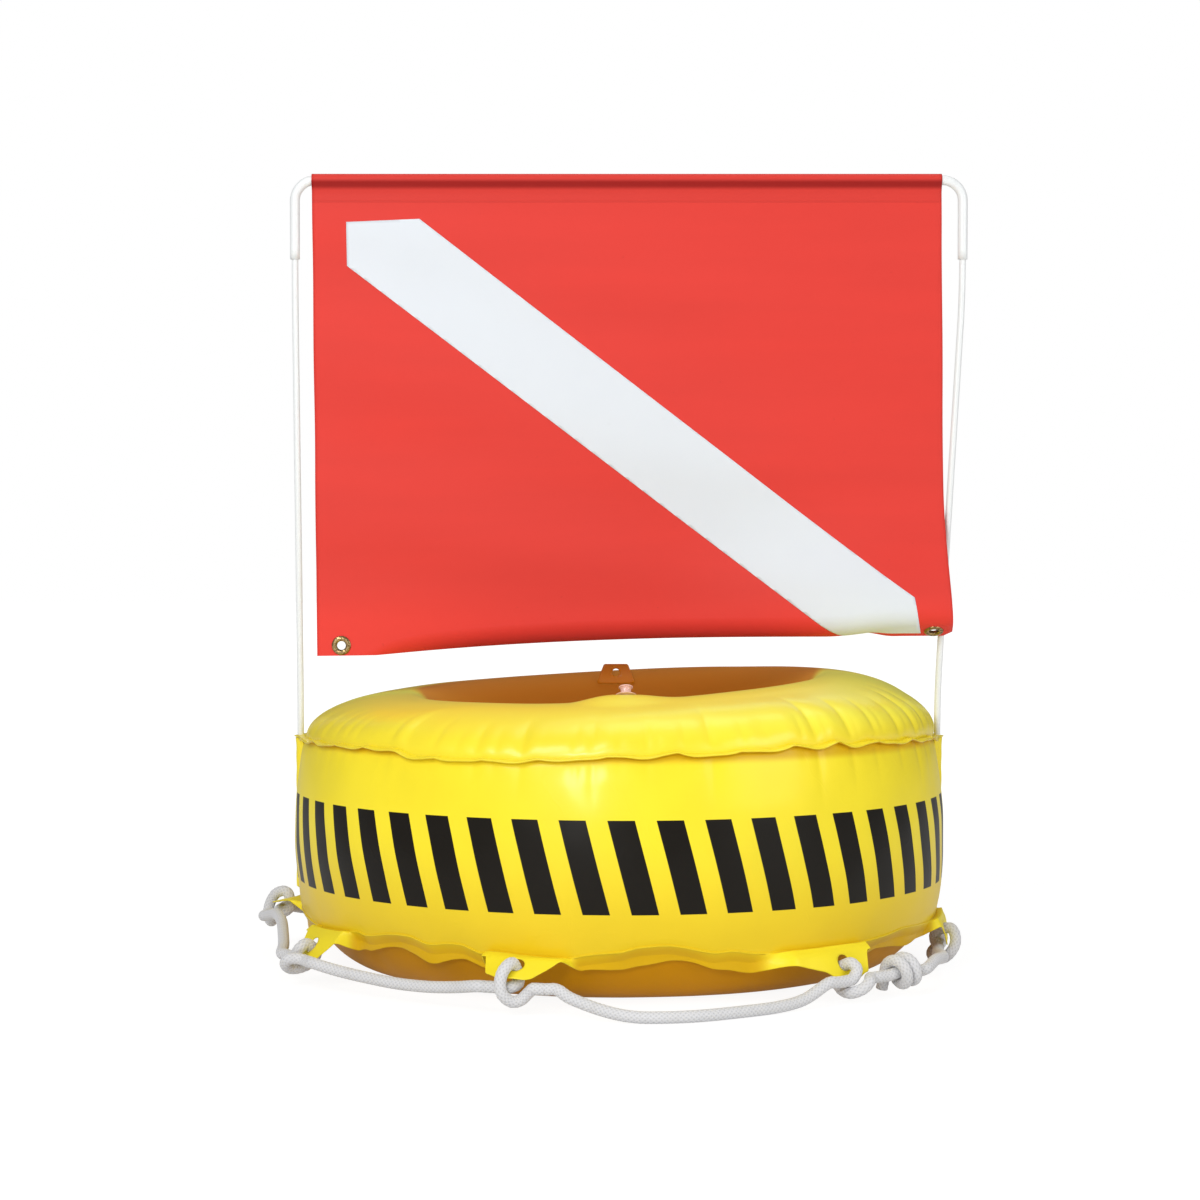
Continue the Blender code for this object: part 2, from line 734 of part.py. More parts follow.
def rod_points(side, leg_x):
    """A rod: upright in its sleeve and in the tube's leg, with a long easy S between them."""
    points = [(side * rod_axis_x, 0, rod_foot)]
    ease = rod_ease_share
    for step in range(rod_steps + 1):
        share = step / rod_steps
        if share < ease:
            part = share * share / (2 * ease * (1 - ease))
        elif share > 1 - ease:
            part = 1 - (1 - share) ** 2 / (2 * ease * (1 - ease))
        else:
            part = (share - ease / 2) / (1 - ease)
        x = side * rod_axis_x + (leg_x - side * rod_axis_x) * part
        points.append((x, 0, rod_straight_top + (leg_end - rod_straight_top) * share))
    points.append((leg_x, 0, rod_top))
    return points


def add_rod(name, side, leg_x):
    mesh = curve_mesh(tube_curve(name, rod_points(side, leg_x), rod_diameter, 3))
    return add_object(name, mesh, white_plastic)


def tube_points(extra):
    points = [(left_leg_x, 0, leg_end - extra)]
    corners = ((left_leg_x + tube_bend, 180, 90), (right_leg_x - tube_bend, 90, 0))
    for centre_x, start, end in corners:
        for step in range(bend_steps + 1):
            angle = math.radians(start + (end - start) * step / bend_steps)
            points.append((centre_x + tube_bend * math.cos(angle), 0,
                           tube_height - tube_bend + tube_bend * math.sin(angle)))
    points.append((right_leg_x, 0, leg_end - extra))
    return points


def add_top_tube():
    mesh = curve_mesh(tube_curve("top_tube", tube_points(0), tube_diameter, 4))
    item = add_object("top_tube", mesh, white_plastic)
    bore = curve_mesh(tube_curve("tube_bore", tube_points(overrun), tube_bore, 4))
    cut(item, "tube_bore", bore)
    return item


# Flag

sleeve_radius = tube_diameter / 2 + flag_clearance + flag_sheet
flag_top = tube_height + sleeve_radius
panel_top = tube_height - sleeve_pinch
flag_columns = 16
panel_rows = 10
curl_rows = 6


def curl_start(x):
    """The height where the cloth leaves its hanging plane and curls back."""
    foot = foot_height(x)
    if x <= curl_start_x:
        return foot
    return max(flag_foot + curl_height * (1 - math.exp((curl_start_x - x) / curl_growth)), foot)


def foot_height(x):
    return flag_foot + flag_foot_rise * (x - flag_left_x) / flag_width


def hang(x, flat_height):
    """Where a point of the flat panel hangs, given its place across and its height on the flat cloth."""
    start = curl_start(x)
    side = (x - flag_left_x) / flag_width
    back, height = 0, flat_height
    if flat_height < start:
        tighter = (curl_angle - curl_corner_angle) * smooth_step(side, *curl_corner_shares)
        run = start - flat_height
        angle = min(run / curl_radius, math.radians(curl_angle - tighter))
        rest = run - angle * curl_radius
        back = curl_radius * (1 - math.cos(angle)) + rest * math.sin(angle)
        height = start - curl_radius * math.sin(angle) - rest * math.cos(angle)
    depth = (panel_top - height) / (panel_top - flag_foot)
    curl_top = curl_start(flag_right_x)
    fade = smooth_step(height, curl_top, curl_top + ripple_fade)
    fade *= smooth_step(panel_top - height, 0, ripple_length / 3)
    ripple = ripple_height * fade * math.sin(math.tau * height / ripple_length + ripple_slant * x / flag_width)
    push = corner_push * smooth_step(side, *corner_push_shares)
    push *= smooth_step(-height, -flag_foot - corner_push_rise, -start)
    beside = max(side - corner_flare_share, 0) / (1 - corner_flare_share)
    below = max(depth - corner_flare_depth_share, 0) / (1 - corner_flare_depth_share)
    flare = corner_flare * beside * below ** 2
    return Vector((x + flag_lean * depth + flare, back - flag_front - ripple - push, height))


def sleeve_rows():
    """The welded sleeve from its flap at the back, over the tube, to the top of the panel: across and up."""
    flap = 2 * flag_sheet + touch_gap - flag_front
    rows = [(flap, weld_height - weld_overlap), (flap, panel_top)]
    for angle in sleeve_angles:
        turn = math.radians(angle)
        rows.append((sleeve_radius * math.cos(turn), tube_height + sleeve_radius * math.sin(turn)))
    return rows


def flat_flag():
    """The flag as one sheet, cut flat in X and Z, which remembers where each of its points hangs."""
    bm = bmesh.new()
    hung = bm.verts.layers.float_vector.new("hung")
    columns = []
    for step in range(flag_columns + 1):
        x = flag_left_x + flag_width * step / flag_columns
        column = []
        for flat, place in flag_rows(x):
            vert = bm.verts.new((x, 0, flat))
            vert[hung] = place
            column.append(vert)
        columns.append(column)
    for left, right in zip(columns, columns[1:]):
        for a, b, c, d in zip(left, right, right[1:], left[1:]):
            bm.faces.new((d, c, b, a))
    bmesh.ops.triangulate(bm, faces=bm.faces[:])
    return bm


def flag_rows(x):
    """Each row of the cloth at one place across: its height on the flat cloth, and where it hangs."""
    rows = []
    sleeve = sleeve_rows()
    for number, (y, z) in enumerate(sleeve):
        rows.append((flag_top + flag_sheet * (len(sleeve) - number), Vector((x, y, z))))
    foot = foot_height(x)
    start = max(curl_start(x), foot + curl_height / 4)
    flats = [panel_top + (start - panel_top) * step / panel_rows for step in range(panel_rows + 1)]
    flats += [start + (foot - start) * step / curl_rows for step in range(1, curl_rows + 1)]
    for flat in flats:
        rows.append((flat, hang(x, flat)))
    return rows


def hang_up(bm):
    hung = bm.verts.layers.float_vector["hung"]
    for vert in bm.verts:
        vert.co = vert[hung]
    bmesh.ops.recalc_face_normals(bm, faces=bm.faces[:])
    if sum((face.normal.y for face in bm.faces)) > 0:
        bmesh.ops.reverse_faces(bm, faces=bm.faces[:])
    bm.normal_update()


def sheet_mesh(name, bm):
    mesh = bpy.data.meshes.new(name)
    bm.to_mesh(mesh)
    bm.free()
    return mesh


hinge = Vector((0, 0, tube_height))


def add_flag_panel():
    bm = flat_flag()
    hang_up(bm)
    item = add_object("flag_panel", sheet_mesh("flag_panel", bm), red_vinyl, hinge)
    wall = item.modifiers.new("wall", "SOLIDIFY")
    wall.thickness = flag_sheet
    wall.offset = -1
    wall.use_even_offset = True
    return item


def add_stripe():
    left = flag_left_x + stripe_side_margin
    right = flag_right_x - stripe_end_margin
    top = flag_top - stripe_top_margin
    foot = flag_foot + stripe_foot_margin
    corners = ((left, top), (left + stripe_edge_width, top), (right, foot + stripe_edge_height), (right, foot),
               (right - stripe_edge_width, foot), (left, top - stripe_edge_height))
    bm = flat_flag()
    for start, end in zip(corners, corners[1:] + corners[:1]):
        run = Vector((end[0] - start[0], 0, end[1] - start[1]))
        bmesh.ops.bisect_plane(bm, geom=bm.verts[:] + bm.edges[:] + bm.faces[:], dist=merge_gap,
                               plane_co=(start[0], 0, start[1]), plane_no=(-run.z, 0, run.x), clear_outer=True)
    hang_up(bm)
    for vert in bm.verts:
        vert.co += vert.normal * vert.calc_shell_factor() * touch_gap
    item = add_object("flag_stripe", sheet_mesh("flag_stripe", bm), white_vinyl, hinge)
    wall = item.modifiers.new("wall", "SOLIDIFY")
    wall.thickness = stripe_sheet
    wall.offset = 1
    wall.use_even_offset = True
    return item


def grommet_frame(x):
    """A frame on the front of the cloth beside a lower corner, with Z pointing out of the cloth."""
    flat = foot_height(x) + grommet_foot_margin
    centre = hang(x, flat)
    near = grommet_radius / 2
    across = (hang(x + near, flat) - hang(x - near, flat)).normalized()
    upward = (hang(x, flat + near) - hang(x, flat - near)).normalized()
    out = across.cross(upward).normalized()
    frame = Matrix((across, out.cross(across), out)).transposed().to_4x4()
    frame.translation = centre
    return frame


def add_grommet(name, x):
    frame = grommet_frame(x)
    rear = -flag_sheet - 2 * touch_gap - washer_thickness
    lip = rear - grommet_flange
    face = touch_gap + grommet_flange
    outline = ((grommet_bore_radius, grommet_flange), (grommet_lip_radius, face + grommet_crown),
               (grommet_radius - touch_gap, face), (grommet_radius, touch_gap),
               (grommet_barrel_radius, touch_gap), (grommet_barrel_radius, rear), (grommet_lip_radius, rear),
               (grommet_lip_radius, lip), (grommet_bore_radius, lip))
    name = "grommet_" + name
    add_object(name, mesh_of(name, turned(outline, frame, grommet_sides)), brass, hinge)
    high = -flag_sheet - touch_gap
    low = high - washer_thickness
    hole = grommet_barrel_radius + touch_gap
    outline = ((hole, high), (washer_radius, high), (washer_radius, low), (hole, low))
    name = name.replace("grommet", "grommet_washer")
    add_object(name, mesh_of(name, turned(outline, frame, grommet_sides)), brass, hinge)
    return frame.translation, frame.col[2].xyz


# Rope

def smooth_points(points, step):
    """Even steps along a smooth curve through the points."""
    knots = np.array([tuple(point) for point in points])
    ends = np.vstack([2 * knots[0] - knots[1], knots, 2 * knots[-1] - knots[-2]])
    fine = []
    for a, b, c, d in zip(ends, ends[1:], ends[2:], ends[3:]):
        for share in np.linspace(0, 1, curve_samples, endpoint=False):
            fine.append(0.5 * (2 * b + (c - a) * share + (2 * a - 5 * b + 4 * c - d) * share ** 2
                               + (3 * b - a - 3 * c + d) * share ** 3))
    fine = np.array(fine + [knots[-1]])
    run = np.concatenate([[0], np.cumsum(np.linalg.norm(np.diff(fine, axis=0), axis=1))])
    count = max(round(run[-1] / step), 2)
    marks = np.linspace(0, run[-1], count + 1)
    return np.stack([np.interp(marks, run, fine[:, axis]) for axis in range(3)], axis=1), run[-1]


def least_gap(points, length):
    """The least gap of a tube to itself, between places more than a turn's reach apart along it."""
    step = length / (len(points) - 1)
    apart = math.ceil(turn_reach * rope_diameter / step)
    gaps = [np.linalg.norm(points[apart + number:] - point, axis=1).min()
            for number, point in enumerate(points[:-apart])]
    return min(gaps) - rope_diameter


def tab_knot_points(number):
    root, hole, along, out, off = tab_frame(number)
    side = tabs[number][2]
    return [hole + along * a + out * b + off * c * side for a, b, c in knot_route]


def add_tab_knot(number):
    fine, length = smooth_points(tab_knot_points(number), rope_diameter / 12)
    print("Knot", number + 1, "least gap to itself in mm:", round(least_gap(fine, length) * 1000, 2))
    points, length = smooth_points(tab_knot_points(number), length / knot_points)
    add_rope(f"rope_knot_{number + 1}", points, 1)


def add_rope(name, points, resolution):
    mesh = curve_mesh(tube_curve(name, points, rope_diameter, resolution))
    return add_object(name, mesh, white_rope)


def joining_frame():
    """The joining knot's start and its directions: along, level outward and up."""
    number = joining_stretch
    end = tab_knot_points(number)[-1]
    level = around(tabs[number][0])
    angle = math.radians(joining_rise)
    along = level * math.cos(angle) + Vector((0, 0, math.sin(angle)))
    outer = outward(tabs[number][0])
    return end + level * touch_gap, level, along, outer, along.cross(outer)


def joining_points():
    """In along the axis, out round a tight bend, then back in turns round its own strand to a free end."""
    start, level, along, outer, up = joining_frame()
    points = [start, start + level * joining_link / 2, start + level * joining_link]
    base = points[-1]
    for step in range(1, 4):
        points.append(base + along * joining_core * step / 3)
    bend = joining_turn_radius / 2
    for angle in (45, 90, 135):
        turn = math.radians(angle)
        points.append(base + along * (joining_core + bend * math.sin(turn)) + up * bend * (1 - math.cos(turn)))
    steps = round(12 * joining_turns)
    for step in range(steps + 1):
        share = step / steps
        turn = math.tau * joining_turns * share
        ring = up * math.cos(turn) + outer * math.sin(turn)
        reach = joining_core - joining_pitch * joining_turns * share
        points.append(base + along * reach + ring * joining_turn_radius)
    last, before = points[-1], points[-2]
    points.append(last + (last - before).normalized() * joining_tail)
    return points


def add_joining_knot():
    fine, length = smooth_points(joining_points(), rope_diameter / 12)
    print("Joining knot least gap to itself in mm:", round(least_gap(fine, length) * 1000, 2))
    points, length = smooth_points(joining_points(), rope_diameter / 3)
    add_rope("joining_knot", points, 1)


def stretch_ends(number):
    """Where a stretch starts and ends, with its direction there, each a gap off the knot that it meets."""
    following = (number + 1) % len(tabs)
    start = tab_knot_points(number)[-1]
    start_run = around(tabs[number][0])
    if number == joining_stretch:
        base, level, along, outer, up = joining_frame()
        reach = joining_core + joining_turn_radius / 2 + rope_diameter / 2
        start = base + level * joining_link + along * reach + up * joining_turn_radius / 2
        start_run = along
    end_run = around(tabs[following][0])
    end = tab_knot_points(following)[0] - end_run * touch_gap
    return start + start_run * touch_gap, start_run, end, end_run


def stretch_points(number):
    start, start_run, end, end_run = stretch_ends(number)
    points = [start, start + start_run * rope_diameter]
    points += [ring_place(*place) for place in stretch_routes[number]]
    points += [end - end_run * rope_diameter, end]
    return points


def add_stretch(number):
    points, length = smooth_points(stretch_points(number), rope_step)
    start, start_run, end, end_run = stretch_ends(number)
    inner = [Vector(point) for point in points[1:-1]]
    route = [start, start + start_run * rope_diameter] + inner[1:-1] + [end - end_run * rope_diameter, end]
    print("Stretch", number + 1, "length in m:", round(length, 4))
    add_rope(f"rope_stretch_{number + 1}", route, 2)


def build():
    add_outer_wall()
    top_sheet = add_top_sheet()
    add_inner_wall()
    add_bottom_sheet()
    add_rod_pocket("rod_pocket_left", -1)
    add_rod_pocket("rod_pocket_right", 1)
    add_rear_tab()
    add_valve(top_sheet)
    add_rod("rod_left", -1, left_leg_x)
    add_rod("rod_right", 1, right_leg_x)
    add_top_tube()
    panel = add_flag_panel()
    add_stripe()
    places = [add_grommet("left", flag_left_x + grommet_left_margin),
              add_grommet("right", flag_right_x - grommet_right_margin)]
    hole = grommet_barrel_radius + touch_gap
    cut(panel, "flag_holes", drill_mesh("flag_holes", hole, places, overrun, grommet_sides))
    for number in range(len(tabs)):
        add_tab_knot(number)
        add_stretch(number)
    add_joining_knot()


build()
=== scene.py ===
"""Looks of the dive flag float: an inflated ring with a laced rope, two rods, a U tube and a flag.

The front faces -Y and the ring stands at Z = 0. Azimuths are counted from the front towards +X.
"""
import math

import bmesh
import bpy
import numpy as np
from bpy.props import FloatProperty, FloatVectorProperty, IntProperty, PointerProperty
from mathutils import Matrix, Vector, noise


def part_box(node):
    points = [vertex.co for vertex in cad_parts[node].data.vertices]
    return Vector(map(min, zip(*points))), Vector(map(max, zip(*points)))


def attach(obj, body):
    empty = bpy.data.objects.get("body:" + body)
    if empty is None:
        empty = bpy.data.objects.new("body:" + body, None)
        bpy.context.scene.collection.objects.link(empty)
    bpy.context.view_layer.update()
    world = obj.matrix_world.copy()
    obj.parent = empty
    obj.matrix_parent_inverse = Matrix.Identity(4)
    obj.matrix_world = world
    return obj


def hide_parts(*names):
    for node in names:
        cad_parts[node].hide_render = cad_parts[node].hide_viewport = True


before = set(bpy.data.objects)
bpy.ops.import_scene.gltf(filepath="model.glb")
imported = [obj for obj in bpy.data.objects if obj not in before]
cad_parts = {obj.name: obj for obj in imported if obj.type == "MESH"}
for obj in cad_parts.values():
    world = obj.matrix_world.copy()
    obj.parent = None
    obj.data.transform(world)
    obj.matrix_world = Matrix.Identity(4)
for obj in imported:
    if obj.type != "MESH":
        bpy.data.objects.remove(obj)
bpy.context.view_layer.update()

bl_info = {
    "name": "Dive Flag Float",
    "version": (1, 0, 0),
    "blender": (4, 5, 0),
    "location": "3D View > Sidebar > Float",
    "description": "Builds the visible pieces of an inflatable ring that carries a dive flag",
    "category": "Add Mesh",
}


# Sizes and colours that a user would change

def length(label, text, default):
    return FloatProperty(name=label, description=text, default=default, unit="LENGTH", precision=5)


def count(label, text, default):
    return IntProperty(name=label, description=text, default=default, min=1)


def share(label, text, default):
    return FloatProperty(name=label, description=text, default=default, subtype="FACTOR", min=0, max=1)


def angle(label, text, degrees):
    return FloatProperty(name=label, description=text, default=math.radians(degrees), subtype="ANGLE")


def colour(label, text, default):
    return FloatVectorProperty(name=label, description=text, default=default, subtype="COLOR", size=3,
                               min=0, max=1)


def watts(label, text, default):
    return FloatProperty(name=label, description=text, default=default, unit="POWER")


def amount(label, text, default):
    return FloatProperty(name=label, description=text, default=default)


class RingSizes(bpy.types.PropertyGroup):
    sheet: length("Sheet", "Thickness of the vinyl sheets", 0.0008)
    upper_weld_radius: length("Upper weld radius", "Radius of the weld that joins the top sheet", 0.305)
    upper_weld_height: length("Upper weld height", "Height of the weld that joins the top sheet", 0.219)
    lower_weld_radius: length("Lower weld radius", "Radius of the weld that joins the bottom sheet", 0.309)
    lower_weld_height: length("Lower weld height", "Height of the weld that joins the bottom sheet", 0.0555)
    crest_radius: length("Crest radius", "Radius of the highest line of the top sheet", 0.205)
    crest_height: length("Crest height", "Height of the top sheet's crest", 0.2705)
    well_upper_radius: length("Well upper radius", "Radius where the lining meets the top sheet", 0.178)
    well_upper_height: length("Well upper height", "Height where the lining meets the top sheet", 0.2365)
    well_lower_radius: length("Well lower radius", "Radius where the lining meets the bottom sheet", 0.187)
    well_lower_height: length("Well lower height", "Height where the lining meets the bottom sheet", 0.010)
    foot_outer_radius: length("Foot outer radius", "Outer radius of the face that rests on the ground", 0.235)
    foot_inner_radius: length("Foot inner radius", "Inner radius of the face that rests on the ground", 0.205)
    outer_bulge: length("Outer bulge", "How far the air pushes the outer wall out", 0.0098)
    well_bulge: length("Well bulge", "How far the air pushes the well's lining in", 0.0175)
    upper_flange: length("Upper flange", "Width of the free edge beyond the upper weld", 0.0075)
    ruffle: length("Ruffle", "Height of the waves along the upper weld", 0.0025)
    pucker: length("Pucker", "Depth of the folds that run away from the welds", 0.0086)
    dent: length("Dent", "Depth of the broad dents in the outer wall", 0.0015)
    columns: count("Columns", "Steps round the ring", 760)


class LacingSizes(bpy.types.PropertyGroup):
    root_reach: length("Root reach", "From the lower weld to the root line of a tab", 0.0055)
    tab_length: length("Tab length", "From a tab's root line to its tip", 0.040)
    hole_radius: length("Hole radius", "Radius of the hole that the rope passes", 0.0078)
    hole_margin: length("Hole margin", "From a hole's centre to the tab's tip", 0.0168)
    free_edge: length("Free edge", "Width of the edge that hangs between the tabs", 0.0175)
    free_edge_turn: angle("Free edge turn", "How far the free edge is tucked under, from level outward", 124)
    rope_diameter: length("Rope diameter", "Diameter of the lacing rope", 0.0105)
    strands: count("Strands", "Strands of the braid that run each way", 8)
    turn_length: length("Turn length", "Length of one full turn of a strand", 0.036)
    strand_height: length("Strand height", "How far the strands stand out of the rope", 0.00045)
    sides: count("Sides", "Sides round the rope", 32)


class FrameSizes(bpy.types.PropertyGroup):
    rod_diameter: length("Rod diameter", "Diameter of the rods", 0.00635)
    rod_axis: length("Rod axis", "From the middle of the ring to each rod's sleeve", 0.3125)
    rod_foot: length("Rod foot", "Height of the rods' lower ends in their sleeves", 0.0715)
    rod_straight_top: length("Straight top", "Height where a rod starts to lean", 0.225)
    tube_diameter: length("Tube diameter", "Outer diameter of the U tube", 0.0095)
    tube_wall: length("Tube wall", "Wall of the U tube", 0.001)
    tube_height: length("Tube height", "Height of the U tube's axis", 0.7615)
    left_leg: length("Left leg", "Place of the tube's left leg", -0.3167)
    right_leg: length("Right leg", "Place of the tube's right leg", 0.3358)
    leg_length: length("Leg length", "From the tube's axis to the ends of its legs", 0.077)
    tube_bend: length("Tube bend", "Radius of the tube's bends", 0.020)
    sleeve_foot: length("Sleeve foot", "Height of the rod sleeves' lower ends", 0.065)
    sleeve_top: length("Sleeve top", "Height of the rod sleeves' mouths", 0.2165)
    sleeve_half_width: length("Sleeve half width", "Half the width of a rod sleeve's welded strip", 0.015)
    sleeve_face: length("Sleeve face", "From the middle of the ring to the strip's mid face", 0.30855)


class FlagSizes(bpy.types.PropertyGroup):
    cloth: length("Cloth", "Thickness of the coated cloth", 0.0008)
    film: length("Film", "Thickness of the white stripe", 0.0003)
    left: length("Left edge", "Place of the flag's left edge", -0.300)
    width: length("Width", "Width of the flag", 0.615)
    foot: length("Foot", "Height of the hem at the left, hung flat", 0.2964)
    foot_rise: length("Foot rise", "How much higher the hem is at the right", 0.007)
    clearance: length("Clearance", "Room between the tube and its sleeve of cloth", 0.0006)
    front: length("Front", "How far the panel hangs before the tube's axis", 0.0010)
    pinch: length("Pinch", "From the tube's axis down to the top of the panel", 0.0115)
    weld_drop: length("Weld drop", "From the tube's axis down to the weld that closes the sleeve", 0.021)
    ripple_height: length("Ripple height", "Height of the broad ripples", 0.0020)
    ripple_length: length("Ripple length", "Length of the broad ripples", 0.16)
    curl_radius: length("Curl radius", "Radius of the curled hem", 0.021)
    hem_rise: length("Hem rise", "How much higher the curled hem's lowest line is at the right", 0.0204)
    corner_push: length("Corner push", "How far the right foot swings to the front", 0.033)
    corner_flare: length("Corner flare", "How far the right lower corner spreads", 0.0086)
    stripe_side: length("Stripe side", "From the flag's left edge to the stripe", 0.0333)
    stripe_top: length("Stripe top", "From the top of the flag to the stripe", 0.044)
    stripe_end: length("Stripe end", "From the flag's right edge to the stripe", 0.0278)
    stripe_foot: length("Stripe foot", "From the hem to the stripe", 0.0127)
    stripe_edge_height: length("Stripe edge height", "Height of the stripe's upright ends", 0.0455)
    stripe_edge_width: length("Stripe edge width", "Width of the stripe's level ends", 0.0715)
    columns: count("Columns", "Steps across the flag", 150)


class FittingSizes(bpy.types.PropertyGroup):
    grommet_radius: length("Grommet radius", "Outer radius of a grommet", 0.0095)
    grommet_bore: length("Grommet bore", "Radius of the hole in a grommet", 0.0043)
    grommet_barrel: length("Grommet barrel", "Outer radius of a grommet's barrel", 0.0050)
    washer_radius: length("Washer radius", "Outer radius of the washer behind the cloth", 0.0085)
    washer: length("Washer", "Thickness of the washer", 0.0008)
    left_margin: length("Left margin", "From the flag's left edge to the grommet", 0.0238)
    right_margin: length("Right margin", "From the flag's right edge to the grommet", 0.0165)
    foot_margin: length("Foot margin", "From the hem to the grommets", 0.010)
    valve_disc: length("Valve disc", "Radius of the valve's welded disc", 0.010)
    valve_stem: length("Valve stem", "Outer radius of the valve's stem", 0.0048)
    valve_height: length("Valve height", "Height of the valve's stem", 0.008)
    valve_cap: length("Valve cap", "Radius of the stopper's head", 0.0065)
    pivot_reach: length("Pivot reach", "From the stem's axis to the bend of the strap", 0.0125)
    hand_tab_width: length("Hand tab width", "Width of the rear hand tab at its foot", 0.041)
    hand_tab_tip: length("Hand tab tip", "Width of the rear hand tab at its tip", 0.025)
    hand_tab_height: length("Hand tab height", "Height of the rear hand tab", 0.0205)
    hand_tab_hole: length("Hand tab hole", "Radius of the hole in the rear hand tab", 0.004)


class PrintSizes(bpy.types.PropertyGroup):
    low: length("Low", "Height of the printed band's lower edge", 0.0845)
    high: length("High", "Height of the printed band's upper edge", 0.1675)
    bars: count("Bars", "Slanted bars round the ring", 46)
    bar_share: share("Bar share", "Share of the pitch that a bar covers", 0.56)
    slant: amount("Slant", "Bars moved over per metre of height", 6.0)


class FinishColours(bpy.types.PropertyGroup):
    yellow: colour("Yellow", "Yellow vinyl", (0.92, 0.75, 0.024))
    # Painted shade: the yellow vinyl as it looks in the shade of the well, orange-brown
    well_shade: colour("Amber", "Yellow vinyl in the well", (0.60, 0.225, 0.001))
    # Painted shade: the yellow vinyl as it looks facing down in the shadow under the ring
    under: colour("Under", "Yellow vinyl under the ring", (0.62, 0.275, 0.0006))
    # Painted shade: a darker, more orange yellow for vinyl that faces down or lies under an edge
    gold_shade: colour("Gold", "Yellow vinyl where it is tucked under", (0.72, 0.43, 0.004))
    # Painted light: a lighter lemon for the lit near side of the top, which also outweighs the red light that
    # the flag throws there
    crest: colour("Crest", "Yellow vinyl under the flag, which throws red on it", (0.92, 0.88, 0.08))
    ink: colour("Ink", "Print on the outer wall", (0.0065, 0.0045, 0.002))
    red: colour("Red", "Coated cloth of the flag", (0.71, 0.042, 0.030))
    red_crease: colour("Red crease", "Cloth in the shadow below the flag's sleeve", (0.30, 0.004, 0.002))
    white: colour("White", "White stripe of the flag", (0.705, 0.74, 0.785))
    white_hem: colour("White hem", "Stripe at the curled hem, lit yellow by the ring", (0.755, 0.81, 0.90))
    plastic: colour("Plastic", "Rods and tube", (0.83, 0.85, 0.85))
    rope: colour("Rope", "Braided rope", (0.65, 0.65, 0.665))
    dirt: colour("Dirt", "Dirt in the rope", (0.42, 0.38, 0.30))
    brass: colour("Brass", "Tarnished brass", (0.34, 0.24, 0.11))
    valve: colour("Valve", "Soft valve plastic", (0.82, 0.50, 0.42))


class StageSettings(bpy.types.PropertyGroup):
    distance: length("Distance", "From the ring's axis to the camera", 2.8)
    height: length("Height", "Height of the camera", 0.43)
    aside: length("Aside", "Place of the camera across", -0.0186)
    pitch: angle("Pitch", "How far the camera looks down", 1.61)
    lens: amount("Lens", "Focal length in millimetres", 85.68)
    sensor: amount("Sensor", "Width of the camera's sensor in millimetres", 36)
    key_power: watts("Key power", "Power of the main lamp", 47)
    glint_power: watts("Glint power", "Power of the small lamp", 13)
    fill_power: watts("Fill power", "Power of the second lamp", 24.5)
    top_power: watts("Top power", "Power of the lamp overhead", 15)
    sky: amount("Sky", "Strength of the light from all round", 0.40)
    mirrored: amount("Mirrored", "Strength of the sky in reflections", 0.14)
    floor_drop: length("Floor drop", "How far the floor lies below the ring", 0.0006)


groups = {
    "float_ring": RingSizes, "float_lacing": LacingSizes, "float_frame": FrameSizes, "float_flag": FlagSizes,
    "float_fittings": FittingSizes, "float_print": PrintSizes, "float_colours": FinishColours,
    "float_stage": StageSettings,
}


def settings(name):
    return getattr(bpy.context.scene, "float_" + name)


# Each tab: azimuth, droop below level, side of the knot (1 below, -1 above) and share of the full length
tabs = (
    (-102, 15, 1, 1.0), (-60, 55, -1, 1.0), (-16, 36, 1, 1.0), (38, 66, -1, 1.0),
    (80, 78, 1, 0.85), (126, 40, 1, 1.0), (170, 36, 1, 1.0), (214, 40, 1, 1.0),
)
# Each tab's shape, from its hole to the left and to the right: reach of its tip, reach of its root
tab_outlines = (
    (0.019, 0.036, 0.019, 0.036), (0.024, 0.030, 0.020, 0.036), (0.025, 0.031, 0.0175, 0.045),
    (0.006, 0.090, 0.027, 0.032), (0.020, 0.034, 0.020, 0.036), (0.018, 0.040, 0.024, 0.034),
    (0.022, 0.033, 0.018, 0.044), (0.019, 0.042, 0.022, 0.034),
)
# The lower weld's waves: azimuth and how far it hangs below its mean height, in millimetres
lower_waves = (
    (-180, 4), (-171, 0), (-163, 5), (-155, 2), (-146, 8), (-138, 6), (-130, 1), (-122, 4), (-114, 0),
    (-106, 6), (-98, 7), (-90, 4), (-82, 1), (-74, 4), (-64, 7), (-56.2, 5.4), (-50.8, 2.5), (-48.3, 4.2),
    (-42.2, -0.4), (-37.6, -0.5), (-33.8, 4.5), (-30.2, 2.5), (-27.1, 2.5), (-25.1, 6.2), (-23.4, 8.7),
    (-21.6, 6.7), (-16, 9), (-9.4, 10.5), (-5, 6.3), (0, 3.9), (2.8, 0), (7.5, -1.5), (10.3, 0.5),
    (12.9, 3.6), (15.4, 6.2), (18.6, 5.5), (22.4, 8.6), (30.8, 9.2), (37.6, 8.6), (45.9, 8.2), (53, 5.5),
    (58, 3.3), (66, 5.5), (76, 6.5), (86, 5), (92, 1), (99, 4), (106, 0), (114, 5), (124, 8), (132, 6),
    (140, 1), (147, 4), (154, 0), (162, 5), (170, 8),
)
# The upper weld's place: azimuth and how far it is above its mean height, in millimetres
upper_waves = (
    (-180, 0), (-150, 1), (-120, -1), (-98, 0), (-84, 0), (-75, 1.5), (-66, 2.5), (-57, 3.5), (-46, 4.2),
    (-42, 4.2), (-38, -0.4), (-33, -0.8), (-24, -0.6), (-16, 0), (-9, 2), (0, 4.6), (8, 6.2), (16, 6.4),
    (22, 8), (28, 9.6), (35, 10.5), (42, 9.8), (50, 9), (57, 7), (66, 6), (75, 3.5), (84, 0), (98, 0),
    (120, 1), (150, -1),
)
